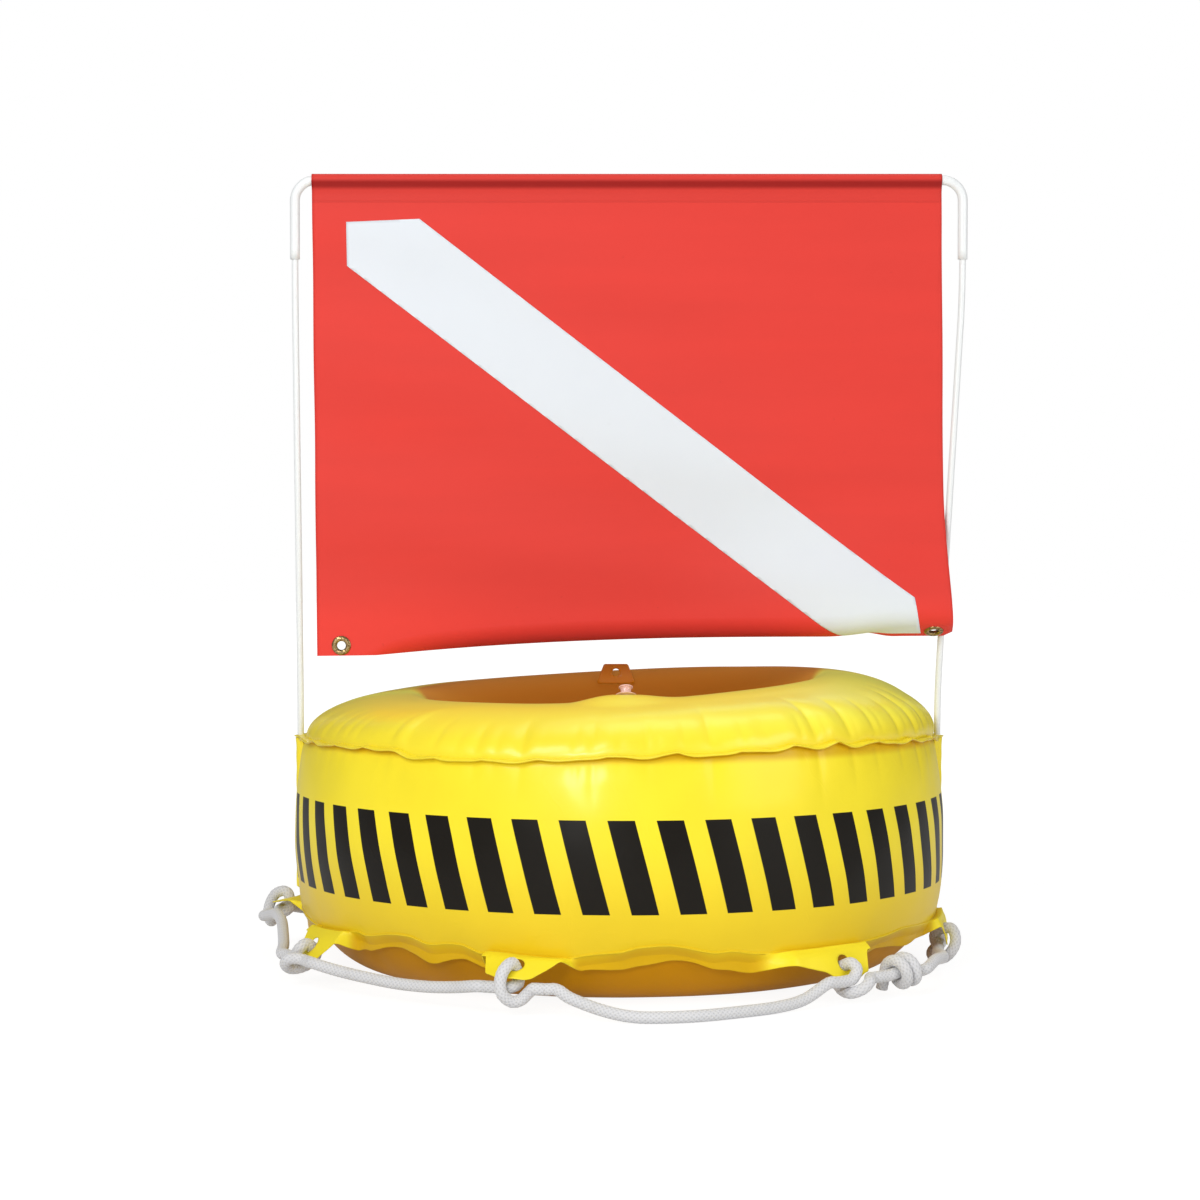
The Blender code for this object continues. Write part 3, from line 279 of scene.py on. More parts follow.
# The knot round a tab, from one rope end to the other: along the ring, outward along the tab, off the tab
knot_route = (
    (-0.0230, 0.0185, -0.0085), (-0.0125, 0.0185, -0.0085), (-0.0035, 0.0172, -0.0095),
    (0.0022, 0.0100, -0.0115), (0.0012, 0.0030, -0.0080), (0.0000, 0.0020, 0.0000),
    (-0.0010, 0.0030, 0.0060), (-0.0035, 0.0085, 0.0088), (-0.0065, 0.0170, 0.0078),
    (-0.0078, 0.0245, 0.0020), (-0.0062, 0.0290, -0.0060), (0.0000, 0.0285, -0.0150),
    (0.0070, 0.0240, -0.0175), (0.0135, 0.0200, -0.0130), (0.0180, 0.0185, -0.0090),
    (0.0200, 0.0185, -0.0085), (0.0300, 0.0185, -0.0085),
)
# The rope between one tab's knot and the next: azimuth, radius, height
stretch_routes = (
    ((-92, 0.344, 0.04), (-87, 0.335, 0.0445), (-81, 0.33, 0.042), (-75, 0.332, 0.035),
     (-70, 0.3375, 0.029)),
    ((-49, 0.3395, 0.0215), (-43, 0.3335, 0.0185), (-37, 0.3305, 0.0165), (-31, 0.3315, 0.017),
     (-26, 0.3355, 0.0195)),
    ((-7, 0.3515, 0.017), (-2.5, 0.364, 0.0095), (1.5, 0.373, 0.0058), (6, 0.3755, 0.0054),
     (11, 0.371, 0.0054), (17, 0.36, 0.0054), (23, 0.35, 0.0056), (28, 0.343, 0.009)),
    ((57, 0.345, 0.026), (62, 0.339, 0.0235), (67, 0.329, 0.021), (71, 0.32, 0.0192)),
    ((91, 0.319, 0.0185), (97, 0.324, 0.0175), (103, 0.3285, 0.0165), (110, 0.332, 0.017),
     (116, 0.3365, 0.019)),
    ((137, 0.337, 0.019), (143, 0.333, 0.0165), (149, 0.3315, 0.0155), (154, 0.333, 0.0165),
     (160, 0.338, 0.0195)),
    ((181, 0.338, 0.0195), (187, 0.334, 0.0165), (193, 0.3325, 0.0155), (198, 0.333, 0.0165),
     (204, 0.337, 0.019)),
    ((225, 0.337, 0.0195), (231, 0.3335, 0.019), (237, 0.334, 0.0205), (242, 0.338, 0.024),
     (248, 0.345, 0.03)),
)
# The joining knot: the stretch that it starts, its rise in degrees, and its turns round its own strand
joining_stretch = 3
joining_rise = 9.0
joining_link = 0.010
joining_core = 0.027
joining_turns = 1.75
joining_pitch = 0.0114
joining_turn_radius = 0.0113
joining_tail = 0.016
# Height of the tabs' root lines
tab_root_height = 0.05495
# Room between pieces that touch, and the distance below which points become one
touch_gap = 0.0001
merge_gap = 0.00001
# Steps from one point of a smooth curve to the next
curve_parts = 12
# Bends that stay sharp where a piece is shaded, and those that are eased where it is turned
sharp_angle = math.radians(50)
bevel_angle = math.radians(40)


# Directions and easing

def outward(azimuth):
    turn = math.radians(azimuth)
    return Vector((math.sin(turn), -math.cos(turn), 0))


def around(azimuth):
    turn = math.radians(azimuth)
    return Vector((math.cos(turn), math.sin(turn), 0))


def ring_place(azimuth, radius, height):
    return outward(azimuth) * radius + Vector((0, 0, height))


def smooth_step(value, start, end):
    part = min(max((value - start) / (end - start), 0), 1)
    return part * part * (3 - 2 * part)


def arc(centre, middle, reach, rise, start, end, steps):
    """Points of an elliptic arc round (centre, middle), with degrees counted from its level end."""
    points = []
    for step in range(steps + 1):
        turn = math.radians(start + (end - start) * step / steps)
        points.append((centre + reach * math.cos(turn), middle + rise * math.sin(turn)))
    return points


# Shader expressions

class Value:
    """A shader socket that joins in Python expressions."""

    def __init__(self, finish, socket):
        self.finish = finish
        self.socket = socket

    def __add__(self, other):
        return self.finish.maths("ADD", self, other)

    def __sub__(self, other):
        return self.finish.maths("SUBTRACT", self, other)

    def __rsub__(self, other):
        return self.finish.maths("SUBTRACT", other, self)

    def __mul__(self, other):
        return self.finish.maths("MULTIPLY", self, other)

    def __abs__(self):
        return self.finish.maths("ABSOLUTE", self)

    __radd__ = __add__
    __rmul__ = __mul__


class Finish:
    """A material whose look is written as expressions on its nodes."""

    def __init__(self, name, colour, roughness, **constants):
        self.material = bpy.data.materials.new(name)
        self.material.use_nodes = True
        self.tree = self.material.node_tree
        self.shader = self.tree.nodes["Principled BSDF"]
        self.set("Base Color", (*colour, 1))
        self.set("Roughness", roughness)
        for socket, value in constants.items():
            self.set(socket.replace("_", " "), value)

    def set(self, name, value):
        self.feed(self.shader.inputs[name], value)

    def feed(self, socket, value):
        if isinstance(value, Value):
            self.tree.links.new(value.socket, socket)
        else:
            socket.default_value = value

    def node(self, kind, options=None, inputs=None, output=0):
        made = self.tree.nodes.new(kind)
        for option, value in (options or {}).items():
            setattr(made, option, value)
        for name, value in (inputs or {}).items():
            self.feed(made.inputs[name], value)
        return Value(self, made.outputs[output])

    def maths(self, operation, *values):
        return self.node("ShaderNodeMath", {"operation": operation}, dict(enumerate(values)))

    def sine(self, value):
        return self.maths("SINE", value)

    def clamp(self, value):
        return self.node("ShaderNodeClamp", inputs={"Value": value})

    def ease(self, value, start, end):
        """0 below start, 1 above end, smooth between."""
        inputs = {"Value": value, "From Min": start, "From Max": end}
        return self.node("ShaderNodeMapRange", {"interpolation_type": "SMOOTHSTEP"}, inputs)

    def mix(self, factor, low, high):
        """A blend of two colours, which have the node's sockets 6 and 7 and its output 2."""
        made = self.tree.nodes.new("ShaderNodeMix")
        made.data_type = "RGBA"
        self.feed(made.inputs[0], factor)
        for socket, value in zip((made.inputs[6], made.inputs[7]), (low, high)):
            self.feed(socket, value if isinstance(value, Value) else (*value, 1))
        return Value(self, made.outputs[2])

    def place(self):
        """Object coordinates as a vector."""
        return self.node("ShaderNodeTexCoord", output="Object")

    def from_axis(self, x, y):
        return self.maths("SQRT", x * x + y * y)

    def axes(self, vector):
        made = self.tree.nodes.new("ShaderNodeSeparateXYZ")
        self.feed(made.inputs[0], vector)
        return [Value(self, socket) for socket in made.outputs]

    def surface(self):
        """The piece's own map: metres across and up a cloth, or metres along and turns round a cord."""
        return self.node("ShaderNodeUVMap", {"uv_map": "surface"})

    def stretched(self, vector, scale):
        return self.node("ShaderNodeMapping", inputs={"Vector": vector, "Scale": scale})

    def noise(self, vector, scale, detail=2.0, roughness=0.5):
        inputs = {"Vector": vector, "Scale": scale, "Detail": detail, "Roughness": roughness}
        return self.node("ShaderNodeTexNoise", inputs=inputs)

    def weave(self, u, v):
        """The threads of a cloth whose map is u across and v up, in metres."""
        return self.sine(u * weave_pitch) * self.sine(v * weave_pitch)

    def bump(self, height, distance, strength=1.0):
        inputs = {"Height": height, "Distance": distance, "Strength": strength}
        self.set("Normal", self.node("ShaderNodeBump", inputs=inputs))


vinyl_coat = 0.14
bar_edge, band_edge = 90, 2500
weave_pitch = 5200
cloth_streaks = (3, 26, 1)
rod_streaks = (420, 420, 9)
# How high a strand of the braid lies at a crossing, and how far it rises or dips there
strand_level, strand_dip = 0.6, 0.4


def tinted(colour, factor):
    return tuple(min(channel * factor, 1) for channel in colour)


def vinyl_wear(finish, base):
    """Soft changes of tone, a fine grain and the faint creases of a sheet that was folded flat."""
    place = finish.place()
    cloud = finish.noise(place, 9, 3)
    crease = abs(finish.noise(place, 16, 2) - 0.5)
    line = finish.ease(crease, 0.018, 0.0)
    grain = finish.noise(place, 900, 1)
    tone = finish.mix(finish.ease(cloud, 0.3, 0.7), tinted(base, 0.955), tinted(base, 1.035))
    finish.set("Roughness", 0.32 + 0.12 * cloud)
    finish.bump(grain * 0.10 + line * 0.12 + cloud * 0.5, 0.0006, 0.45)
    return tone


def vinyl_base(name, base, **constants):
    finish = Finish(name, base, 0.36, **({"Coat_Weight": vinyl_coat, "Coat_Roughness": 0.16} | constants))
    return finish, vinyl_wear(finish, base)


def plain_vinyl(name, base, **constants):
    finish, tone = vinyl_base(name, base, **constants)
    finish.set("Base Color", tone)
    return finish.material


def yellow_vinyl():
    return plain_vinyl("yellow_vinyl", settings("colours").yellow)


# Painted shade: the well's lining is coloured as the yellow vinyl seen in shade
def well_vinyl():
    return plain_vinyl("well_vinyl", settings("colours").well_shade, Coat_Weight=0, Specular_IOR_Level=0.25)


# Painted shade: the bottom sheet is coloured as the yellow vinyl in shadow
def under_vinyl():
    return plain_vinyl("under_vinyl", settings("colours").under, Coat_Weight=0, Specular_IOR_Level=0.1)


def top_vinyl():
    """Yellow vinyl with painted shade, orange-brown where the sheet rolls over into the well, sooner on the
    far side, and painted light on the top's near side.
    """
    colours, ring = settings("colours"), settings("ring")
    finish, tone = vinyl_base("top_vinyl", colours.yellow)
    x, y, z = finish.axes(finish.place())
    radius = finish.from_axis(x, y)
    # Painted shade: the sheet turns orange-brown inside this radius, which reaches further out on the far
    # side
    edge = ring.crest_radius - 0.014 + 0.034 * finish.ease(y, -0.05, 0.09)
    inside = finish.ease(radius - edge, 0.0, -0.017)
    # Painted light: the high, near side of the top is brightened to a lighter lemon
    high = finish.ease(z, ring.upper_weld_height + 0.014, ring.upper_weld_height + 0.046)
    tone = finish.mix(high * finish.ease(y, 0.09, -0.03), tone, colours.crest)
    finish.set("Base Color", finish.mix(inside, tone, colours.well_shade))
    finish.set("Roughness", 0.36 + 0.4 * inside)
    finish.set("Coat Weight", vinyl_coat - vinyl_coat * inside)
    return finish.material


def tab_vinyl():
    """Painted shade, the well's orange-brown made lighter, on the side that faces the well; yellow on the
    other.
    """
    colours, (low, high) = settings("colours"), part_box("rear_tab")
    finish, tone = vinyl_base("tab_vinyl", colours.yellow)
    x, y, z = finish.axes(finish.place())
    middle, blend = (low[1] + high[1]) / 2, 0.0002
    facing = finish.ease(y, middle + blend, middle - blend)
    finish.set("Base Color", finish.mix(facing, tone, tinted(colours.well_shade, 1.3)))
    return finish.material


def edge_vinyl():
    """Yellow vinyl on the tabs, with painted shade where the free edge is tucked under the ring."""
    colours, ring = settings("colours"), settings("ring")
    finish, tone = vinyl_base("edge_vinyl", colours.yellow, Coat_Weight=0.02, Specular_IOR_Level=0.2)
    x, y, z = finish.axes(finish.place())
    radius = finish.from_axis(x, y)
    # Painted shade: the tucked part of the free edge is darkened
    tucked = finish.ease(radius, ring.lower_weld_radius + 0.0060, ring.lower_weld_radius - 0.0030)
    finish.set("Base Color", finish.mix(tucked, tone, colours.gold_shade))
    return finish.material


def printed_vinyl():
    """Yellow vinyl with a band of plain slanted bars, painted shade low on the wall and a painted shadow
    under the upper weld.
    """
    colours, band, ring = settings("colours"), settings("print"), settings("ring")
    finish, tone = vinyl_base("printed_vinyl", colours.yellow, Specular_IOR_Level=0.22)
    x, y, z = finish.axes(finish.place())
    # Painted shade: the wall turns darker and more orange towards its lower weld, where it faces down
    tone = finish.mix(finish.ease(z, 0.16, 0.055) * 0.55, tone, colours.gold_shade)
    # Painted shadow: a dark line just under the free edge of the upper weld
    seam = ring.upper_weld_height + 0.0035
    tone = finish.mix(finish.ease(z, seam - 0.0085, seam - 0.001) * 0.85, tone, colours.gold_shade)
    turn = finish.maths("ARCTAN2", x, 0 - y) * (band.bars / math.tau)
    step = finish.maths("FRACT", turn + z * band.slant + 0.5)
    bar = finish.clamp((band.bar_share / 2 - abs(step - 0.5)) * bar_edge + 0.5)
    upper = finish.clamp((band.high - z) * band_edge + 0.5)
    lower = finish.clamp((z - band.low) * band_edge + 0.5)
    ink = bar * upper * lower
    finish.set("Base Color", finish.mix(ink, tone, colours.ink))
    finish.set("Coat Weight", vinyl_coat - vinyl_coat * ink)
    return finish.material


def red_cloth():
    """Coated cloth: a fine weave that shows through the coat, streaks along the width, a welded seam, painted
    shade below the sleeve and painted light near the hem.
    """
    colours, flag, frame_sizes = settings("colours"), settings("flag"), settings("frame")
    finish = Finish("red_cloth", colours.red, 0.5, Sheen_Weight=0.02, Specular_IOR_Level=0.25)
    surface = finish.surface()
    u, v, w = finish.axes(surface)
    streak = finish.noise(finish.stretched(surface, cloth_streaks), 1.0, 3)
    cloud = finish.noise(surface, 7, 3)
    speck = finish.ease(finish.noise(surface, 190, 2, 0.6), 0.70, 0.80)
    tone = finish.mix(streak * 0.7 + cloud * 0.3, tinted(colours.red, 0.90), tinted(colours.red, 1.08))
    weld_height = frame_sizes.tube_height - flag.weld_drop
    weld = finish.ease(abs(v - weld_height + 0.0012 * (cloud - 0.5)), 0.0014, 0.0005)
    tone = finish.mix(weld * 0.2, tone, tinted(colours.red, 0.45))
    across, depth, height = finish.axes(finish.place())
    crease = frame_sizes.tube_height - flag.pinch
    shade = finish.ease(height, crease + 0.0010, crease + 0.0060)
    shade *= finish.ease(height, crease + 0.0135, crease + 0.0085)
    # Painted shade: a slightly darker band of the panel just below the sleeve
    below = finish.ease(height, crease - 0.0095, crease - 0.0070)
    tone = finish.mix(below * 0.4, tone, tinted(colours.red, 0.8))
    tone = finish.mix(shade * 0.95, tone, colours.red_crease)
    # Painted light: the red is made brighter near the curled hem
    near_hem = finish.ease(v, flag.foot + 0.07, flag.foot + 0.03)
    tone = finish.mix(near_hem * 0.5, tone, tinted(colours.red, 1.25))
    tone = finish.mix(speck * 0.25, tone, tinted(colours.red, 0.6))
    finish.set("Base Color", tone)
    finish.set("Roughness", 0.52 + 0.12 * cloud)
    finish.bump(finish.weave(u, v) * 0.05 + streak * 1.2 - weld * 0.8, 0.0007, 0.5)
    return finish.material


def white_film():
    colours, flag = settings("colours"), settings("flag")
    finish = Finish("white_film", colours.white, 0.5, Specular_IOR_Level=0.3)
    surface = finish.surface()
    u, v, w = finish.axes(surface)
    cloud = finish.noise(surface, 9, 3)
    streak = finish.noise(finish.stretched(surface, cloth_streaks), 1.0, 3)
    smudge = finish.ease(finish.noise(surface, 60, 3, 0.6), 0.66, 0.80)
    tone = finish.mix(cloud, tinted(colours.white, 0.96), tinted(colours.white, 1.03))
    # Painted light: a brighter, bluer white at the curled hem, which offsets the yellow light that the ring
    # throws there
    near_hem = finish.ease(v, flag.foot + 0.07, flag.foot + 0.02)
    tone = finish.mix(near_hem * 0.8, tone, colours.white_hem)
    finish.set("Base Color", finish.mix(smudge * 0.10, tone, tinted(colours.white, 0.7)))
    finish.set("Roughness", 0.50 + 0.12 * cloud)
    finish.bump(finish.weave(u, v) * 0.04 + streak * 1.0, 0.0007, 0.45)
    return finish.material


def white_plastic():
    colours = settings("colours")
    finish = Finish("white_plastic", colours.plastic, 0.32, Coat_Weight=0.1)
    place = finish.place()
    streak = finish.noise(finish.stretched(place, rod_streaks), 1.0, 2)
    scuff = finish.ease(finish.noise(place, 70, 4, 0.65), 0.60, 0.75)
    tone = finish.mix(streak, tinted(colours.plastic, 0.95), tinted(colours.plastic, 1.03))
    finish.set("Base Color", finish.mix(scuff * 0.18, tone, tinted(colours.plastic, 0.7)))
    finish.set("Roughness", 0.28 + 0.2 * scuff)
    finish.bump(streak, 0.0002, 0.3)
    return finish.material


def rope_braid():
    """Two sets of strands that pass over and under each other, each with its own yarns, and painted shade
    where the strands lie low.
    """
    colours, lacing = settings("colours"), settings("lacing")
    finish = Finish("rope_braid", colours.rope, 0.75, Sheen_Weight=0.25, Sheen_Roughness=0.5)
    surface = finish.surface()
    along, turn, w = finish.axes(surface)
    one, other = turn * lacing.strands, along * (lacing.strands / lacing.turn_length)
    ahead = finish.sine((one + other) * math.pi)
    back = finish.sine((one - other) * math.pi)
    over = ahead * back
    height = finish.maths("MAXIMUM", abs(ahead) * (strand_level + strand_dip * over),
                          abs(back) * (strand_level - strand_dip * over))
    yarn = finish.sine(turn * (lacing.strands * math.tau * 3)) * 0.5 + 0.5
    dirt = finish.ease(finish.noise(finish.place(), 38, 3, 0.6), 0.52, 0.75)
    # Painted shade: the rope is darker in the grooves where the strands lie low
    tone = finish.mix(finish.ease(height, 0.1, 0.7), tinted(colours.rope, 0.80), tinted(colours.rope, 1.05))
    finish.set("Base Color", finish.mix(dirt * 0.14, tone, colours.dirt))
    finish.bump(height + yarn * 0.14, 0.0006, 0.5)
    return finish.material


def tarnished_brass():
    colours = settings("colours")
    finish = Finish("tarnished_brass", colours.brass, 0.36, Metallic=1.0)
    stain = finish.ease(finish.noise(finish.place(), 420, 4, 0.65), 0.40, 0.66)
    finish.set("Base Color", finish.mix(stain, tinted(colours.brass, 1.35), tinted(colours.brass, 0.45)))
    finish.set("Roughness", 0.26 + 0.3 * stain)
    finish.bump(stain, 0.0001, 0.4)
    return finish.material


def valve_plastic():
    colours = settings("colours")
    finish = Finish("valve_plastic", colours.valve, 0.22, Coat_Weight=0.3)
    cloud = finish.noise(finish.place(), 240, 3)
    finish.set("Base Color", finish.mix(cloud, tinted(colours.valve, 0.9), tinted(colours.valve, 1.08)))
    finish.bump(cloud, 0.0001, 0.3)
    return finish.material


finishes = {}


def finish_of(make):
    """The material that a function makes, made once."""
    if make.__name__ not in finishes:
        finishes[make.__name__] = make()
    return finishes[make.__name__]


# Meshes and pieces

def add_piece(name, bm, make_finish, body, nodes, thickness=0.0, offset=0.0):
    mesh = bpy.data.meshes.new(name)
    bm.to_mesh(mesh)
    bm.free()
    mesh.materials.append(finish_of(make_finish))
    mesh.shade_smooth()
    mesh.set_sharp_from_angle(angle=sharp_angle)
    piece = bpy.data.objects.new(name, mesh)
    bpy.context.scene.collection.objects.link(piece)
    if thickness:
        wall = piece.modifiers.new("wall", "SOLIDIFY")
        wall.thickness = thickness
        wall.offset = offset
    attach(piece, body)
    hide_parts(*nodes)
    return piece


def face_out(bm):
    bmesh.ops.recalc_face_normals(bm, faces=bm.faces[:])


def pull(bm, verts, edges, way, steps):
    """Draws a line or a circle out along a way, in so many steps of the way's length."""
    bmesh.ops.spin(bm, geom=verts + edges, cent=(0, 0, 0), axis=(0, 0, 1), dvec=way, angle=0, steps=steps,
                   use_merge=False)
    bmesh.ops.remove_doubles(bm, verts=bm.verts[:], dist=merge_gap)


def curve_between(a, b, c, d, part):
    """A smooth curve from b to c, whose neighbours are a and d."""
    return 0.5 * (2 * b + (c - a) * part + (2 * a - 5 * b + 4 * c - d) * part ** 2
                  + (3 * b - a - 3 * c + d) * part ** 3)


def spun_sheet(line, columns, move, at=lambda azimuth: None):
    """Spins a line of (radius, height) round Z, then moves each vertex.

    The move is given what `at` says of the azimuth, the row, the azimuth, and the line's radius and height.
    """
    bm = bmesh.new()
    row = bm.verts.layers.int.new("row")
    verts = []
    for number, (radius, height) in enumerate(line):
        vert = bm.verts.new((0, -radius, height))
        vert[row] = number
        verts.append(vert)
    edges = [bm.edges.new(pair) for pair in zip(verts, verts[1:])]
    bmesh.ops.spin(bm, geom=verts + edges, cent=(0, 0, 0), axis=(0, 0, 1), angle=math.tau,
                   steps=columns, use_merge=True)
    sides = {}
    for vert in bm.verts:
        azimuth = round(math.degrees(math.atan2(vert.co.x, -vert.co.y)), 3)
        if azimuth not in sides:
            sides[azimuth] = at(azimuth)
        vert.co = move(sides[azimuth], vert[row], azimuth, *line[vert[row]])
    face_out(bm)
    return bm


def turned(outline, matrix, steps, bevel=0.0):
    """A closed outline of radius and height turned round a frame's Z axis, with its corners eased."""
    bm = bmesh.new()
    verts = [bm.verts.new((radius, 0, height)) for radius, height in outline]
    edges = [bm.edges.new(pair) for pair in zip(verts, verts[1:] + verts[:1])]
    bmesh.ops.spin(bm, geom=verts + edges, cent=(0, 0, 0), axis=(0, 0, 1), angle=math.tau, steps=steps,
                   use_merge=True)
    bmesh.ops.remove_doubles(bm, verts=bm.verts[:], dist=merge_gap / 2)
    face_out(bm)
    if bevel:
        sharp = [edge for edge in bm.edges if edge.is_manifold and edge.calc_face_angle() > bevel_angle]
        bmesh.ops.bevel(bm, geom=sharp, offset=bevel, segments=2, affect="EDGES", profile=0.5, material=-1)
    bmesh.ops.transform(bm, matrix=matrix, verts=bm.verts[:])
    return bm


def smooth_points(points, step):
    """Even steps along a smooth curve through the points."""
    knots = np.array([tuple(point) for point in points])
    ends = np.vstack([2 * knots[0] - knots[1], knots, 2 * knots[-1] - knots[-2]])
    fine = []
    for a, b, c, d in zip(ends, ends[1:], ends[2:], ends[3:]):
        fine += [curve_between(a, b, c, d, part) for part in np.linspace(0, 1, curve_parts, endpoint=False)]
    fine = np.array(fine + [knots[-1]])
    run = np.concatenate([[0], np.cumsum(np.linalg.norm(np.diff(fine, axis=0), axis=1))])
    marks = np.linspace(0, run[-1], max(round(run[-1] / step), 2) + 1)
    return np.stack([np.interp(marks, run, fine[:, axis]) for axis in range(3)], axis=1), run[-1]


def frames_along(points):
    """Directions along a line of points, and two across it that turn as little as they can."""
    points = np.asarray(points)
    ahead = np.gradient(points, axis=0)
    ahead /= np.linalg.norm(ahead, axis=1)[:, None]
    first = np.cross(ahead[0], (0, 0, 1) if abs(ahead[0][2]) < 0.9 else (0, 1, 0))
    across = [first / np.linalg.norm(first)]
    for direction in ahead[1:]:
        side = across[-1] - direction * np.dot(across[-1], direction)
        across.append(side / np.linalg.norm(side))
    across = np.array(across)
    return across, np.cross(ahead, across)


def swept_tube(points, radius, sides, relief=None, caps=True):
    """A straight tube from one spin, laid along the points, with a map of metres along and turns round."""
    points = np.asarray(points)
    run = np.concatenate([[0], np.cumsum(np.linalg.norm(np.diff(points, axis=0), axis=1))])
    bm = bmesh.new()
    circle = bmesh.ops.create_circle(bm, cap_ends=False, segments=sides, radius=1)["verts"]
    pull(bm, circle, bm.edges[:], (0, 0, 1), len(points) - 1)
    surface = bm.loops.layers.uv.new("surface")
    turns = {vert: math.atan2(vert.co.y, vert.co.x) / math.tau % 1 for vert in bm.verts}
    rows = {vert: round(vert.co.z) for vert in bm.verts}
    for face in bm.faces:
        seam = max(turns[vert] for vert in face.verts) > 0.75
        for loop in face.loops:
            turn = turns[loop.vert]
            loop[surface].uv = (run[rows[loop.vert]], turn + 1 if seam and turn < 0.25 else turn)
    across, up = frames_along(points)
    for vert in bm.verts:
        row, turn = rows[vert], turns[vert]
        reach = radius + (relief(run[row], turn) if relief else 0)
        bend = math.tau * turn
        vert.co = points[row] + (across[row] * math.cos(bend) + up[row] * math.sin(bend)) * reach
    if caps:
        bmesh.ops.holes_fill(bm, edges=[edge for edge in bm.edges if edge.is_boundary], sides=0)
    face_out(bm)
    return bm


# The rope

# Metres from one row of a rope's mesh to the next
knot_step = 0.00095
stretch_step = 0.0011


def tab_frame(number):
    """A tab's root, hole centre and directions round the ring, out along the tab and off its upper face."""
    ring, lacing = settings("ring"), settings("lacing")
    azimuth, droop, side, part = tabs[number]
    level, along, turn = outward(azimuth), around(azimuth), math.radians(droop)
    out = level * math.cos(turn) - Vector((0, 0, math.sin(turn)))
    off = level * math.sin(turn) + Vector((0, 0, math.cos(turn)))
    root = level * (ring.lower_weld_radius + lacing.root_reach) + Vector((0, 0, tab_root_height))
    hole = root + out * (lacing.tab_length * part - lacing.hole_margin)
    return root, hole, along, out, off


def tab_knot_points(number):
    root, hole, along, out, off = tab_frame(number)
    side = tabs[number][2]
    return [hole + along * a + out * b + off * c * side for a, b, c in knot_route]


def joining_frame():
    end = tab_knot_points(joining_stretch)[-1]
    azimuth = tabs[joining_stretch][0]
    level, outer, turn = around(azimuth), outward(azimuth), math.radians(joining_rise)
    along = level * math.cos(turn) + Vector((0, 0, math.sin(turn)))
    return end + level * touch_gap, level, along, outer, along.cross(outer)


def joining_points():
    """In along the axis, round a tight bend, then back in turns round its own strand to a free end."""
    start, level, along, outer, up = joining_frame()
    points = [start, start + level * joining_link / 2, start + level * joining_link]
    base, bend = points[-1], joining_turn_radius / 2
    points += [base + along * joining_core * step / 3 for step in range(1, 4)]
    for degrees in (45, 90, 135):
        turn = math.radians(degrees)
        points.append(base + along * (joining_core + bend * math.sin(turn))
                      + up * bend * (1 - math.cos(turn)))
    steps = round(12 * joining_turns)
    for step in range(steps + 1):
        turn = math.tau * joining_turns * step / steps
        reach = joining_core - joining_pitch * joining_turns * step / steps
        side = up * math.cos(turn) + outer * math.sin(turn)
        points.append(base + along * reach + side * joining_turn_radius)
    last, before = points[-1], points[-2]
    return points + [last + (last - before).normalized() * joining_tail]


def stretch_points(number):
    """From one tab's knot to the next, a small gap off both."""
    reach = settings("lacing").rope_diameter
    following = (number + 1) % len(tabs)
    start, start_run = tab_knot_points(number)[-1], around(tabs[number][0])
    if number == joining_stretch:
        base, level, along, outer, up = joining_frame()
        start = (base + level * joining_link + along * (joining_core + joining_turn_radius / 2 + reach / 2)
                 + up * joining_turn_radius / 2)
        start_run = along
    end_run = around(tabs[following][0])
    end = tab_knot_points(following)[0] - end_run * touch_gap
    start = start + start_run * touch_gap
    middle = [ring_place(*place) for place in stretch_routes[number]]
    return [start, start + start_run * reach] + middle + [end - end_run * reach, end]


def strand_relief(along, turn):
    """How far the braid stands out of the rope's mean radius at a place along and round it."""
    lacing = settings("lacing")
    one, other = turn * lacing.strands, along * lacing.strands / lacing.turn_length
    ahead, back = math.sin(math.pi * (one + other)), math.sin(math.pi * (one - other))
    over = ahead * back
    height = max(abs(ahead) * (strand_level + strand_dip * over),
                 abs(back) * (strand_level - strand_dip * over))
    return lacing.strand_height * (height - 0.5)


def add_rope(name, points, step):
    lacing = settings("lacing")
    path, run = smooth_points(points, step)
    bm = swept_tube(path, lacing.rope_diameter / 2, lacing.sides, strand_relief)
    piece = add_piece(name + "_braid", bm, rope_braid, "float", [name])


class FLOAT_OT_rope(bpy.types.Operator):
    """Lay the lacing rope: its knots at the tabs, the stretches between them and the joining knot"""
    bl_idname = "dive_float.rope"
    bl_label = "Lacing rope"

    def execute(self, context):
        for number in range(len(tabs)):
            add_rope(f"rope_knot_{number + 1}", tab_knot_points(number), knot_step)
            add_rope(f"rope_stretch_{number + 1}", stretch_points(number), stretch_step)
        add_rope("joining_knot", joining_points(), knot_step)
        return {"FINISHED"}


# The ring

# Beside the rods the welds are still: degrees from the rod where the waves and the folds begin, and are full
wave_still = (3, 9)
fold_still = (3, 8)
# Narrow folds round the ring: how many, and their width as a share of their spacing
upper_folds = (96, 0.26)
lower_folds = (52, 0.5)
# From a weld to where its folds are deep
fold_start = 0.004
# The weld's wave: the sheet's share, what the free edge takes on top of it, and how far its tip droops
weld_share = 0.55
tip_share = 0.45
tip_droop = 0.0012
# How far from a weld its wave and its place still show in the sheets
top_wave_fade = 0.016
wall_wave_fade = 0.014
top_place_fade = 0.07
wall_place_fade = 0.09
lower_wall_fade = 0.022
lower_belly_fade = 0.016
# The top keeps its mean height round the valve, and has a fuller shoulder on the right
valve_still = (0.001, 0.045)
shoulder_push = 0.0045
shoulder_height = 0.034
# Broad dents: depth, and about how many there are to a metre
top_dent = (0.0009, 11)
well_dent = (0.0018, 12)
belly_dent = (0.0010, 15)
# The ears of the upper free edge, round the rods
ear_reach = 0.0062
ear_length = 0.011
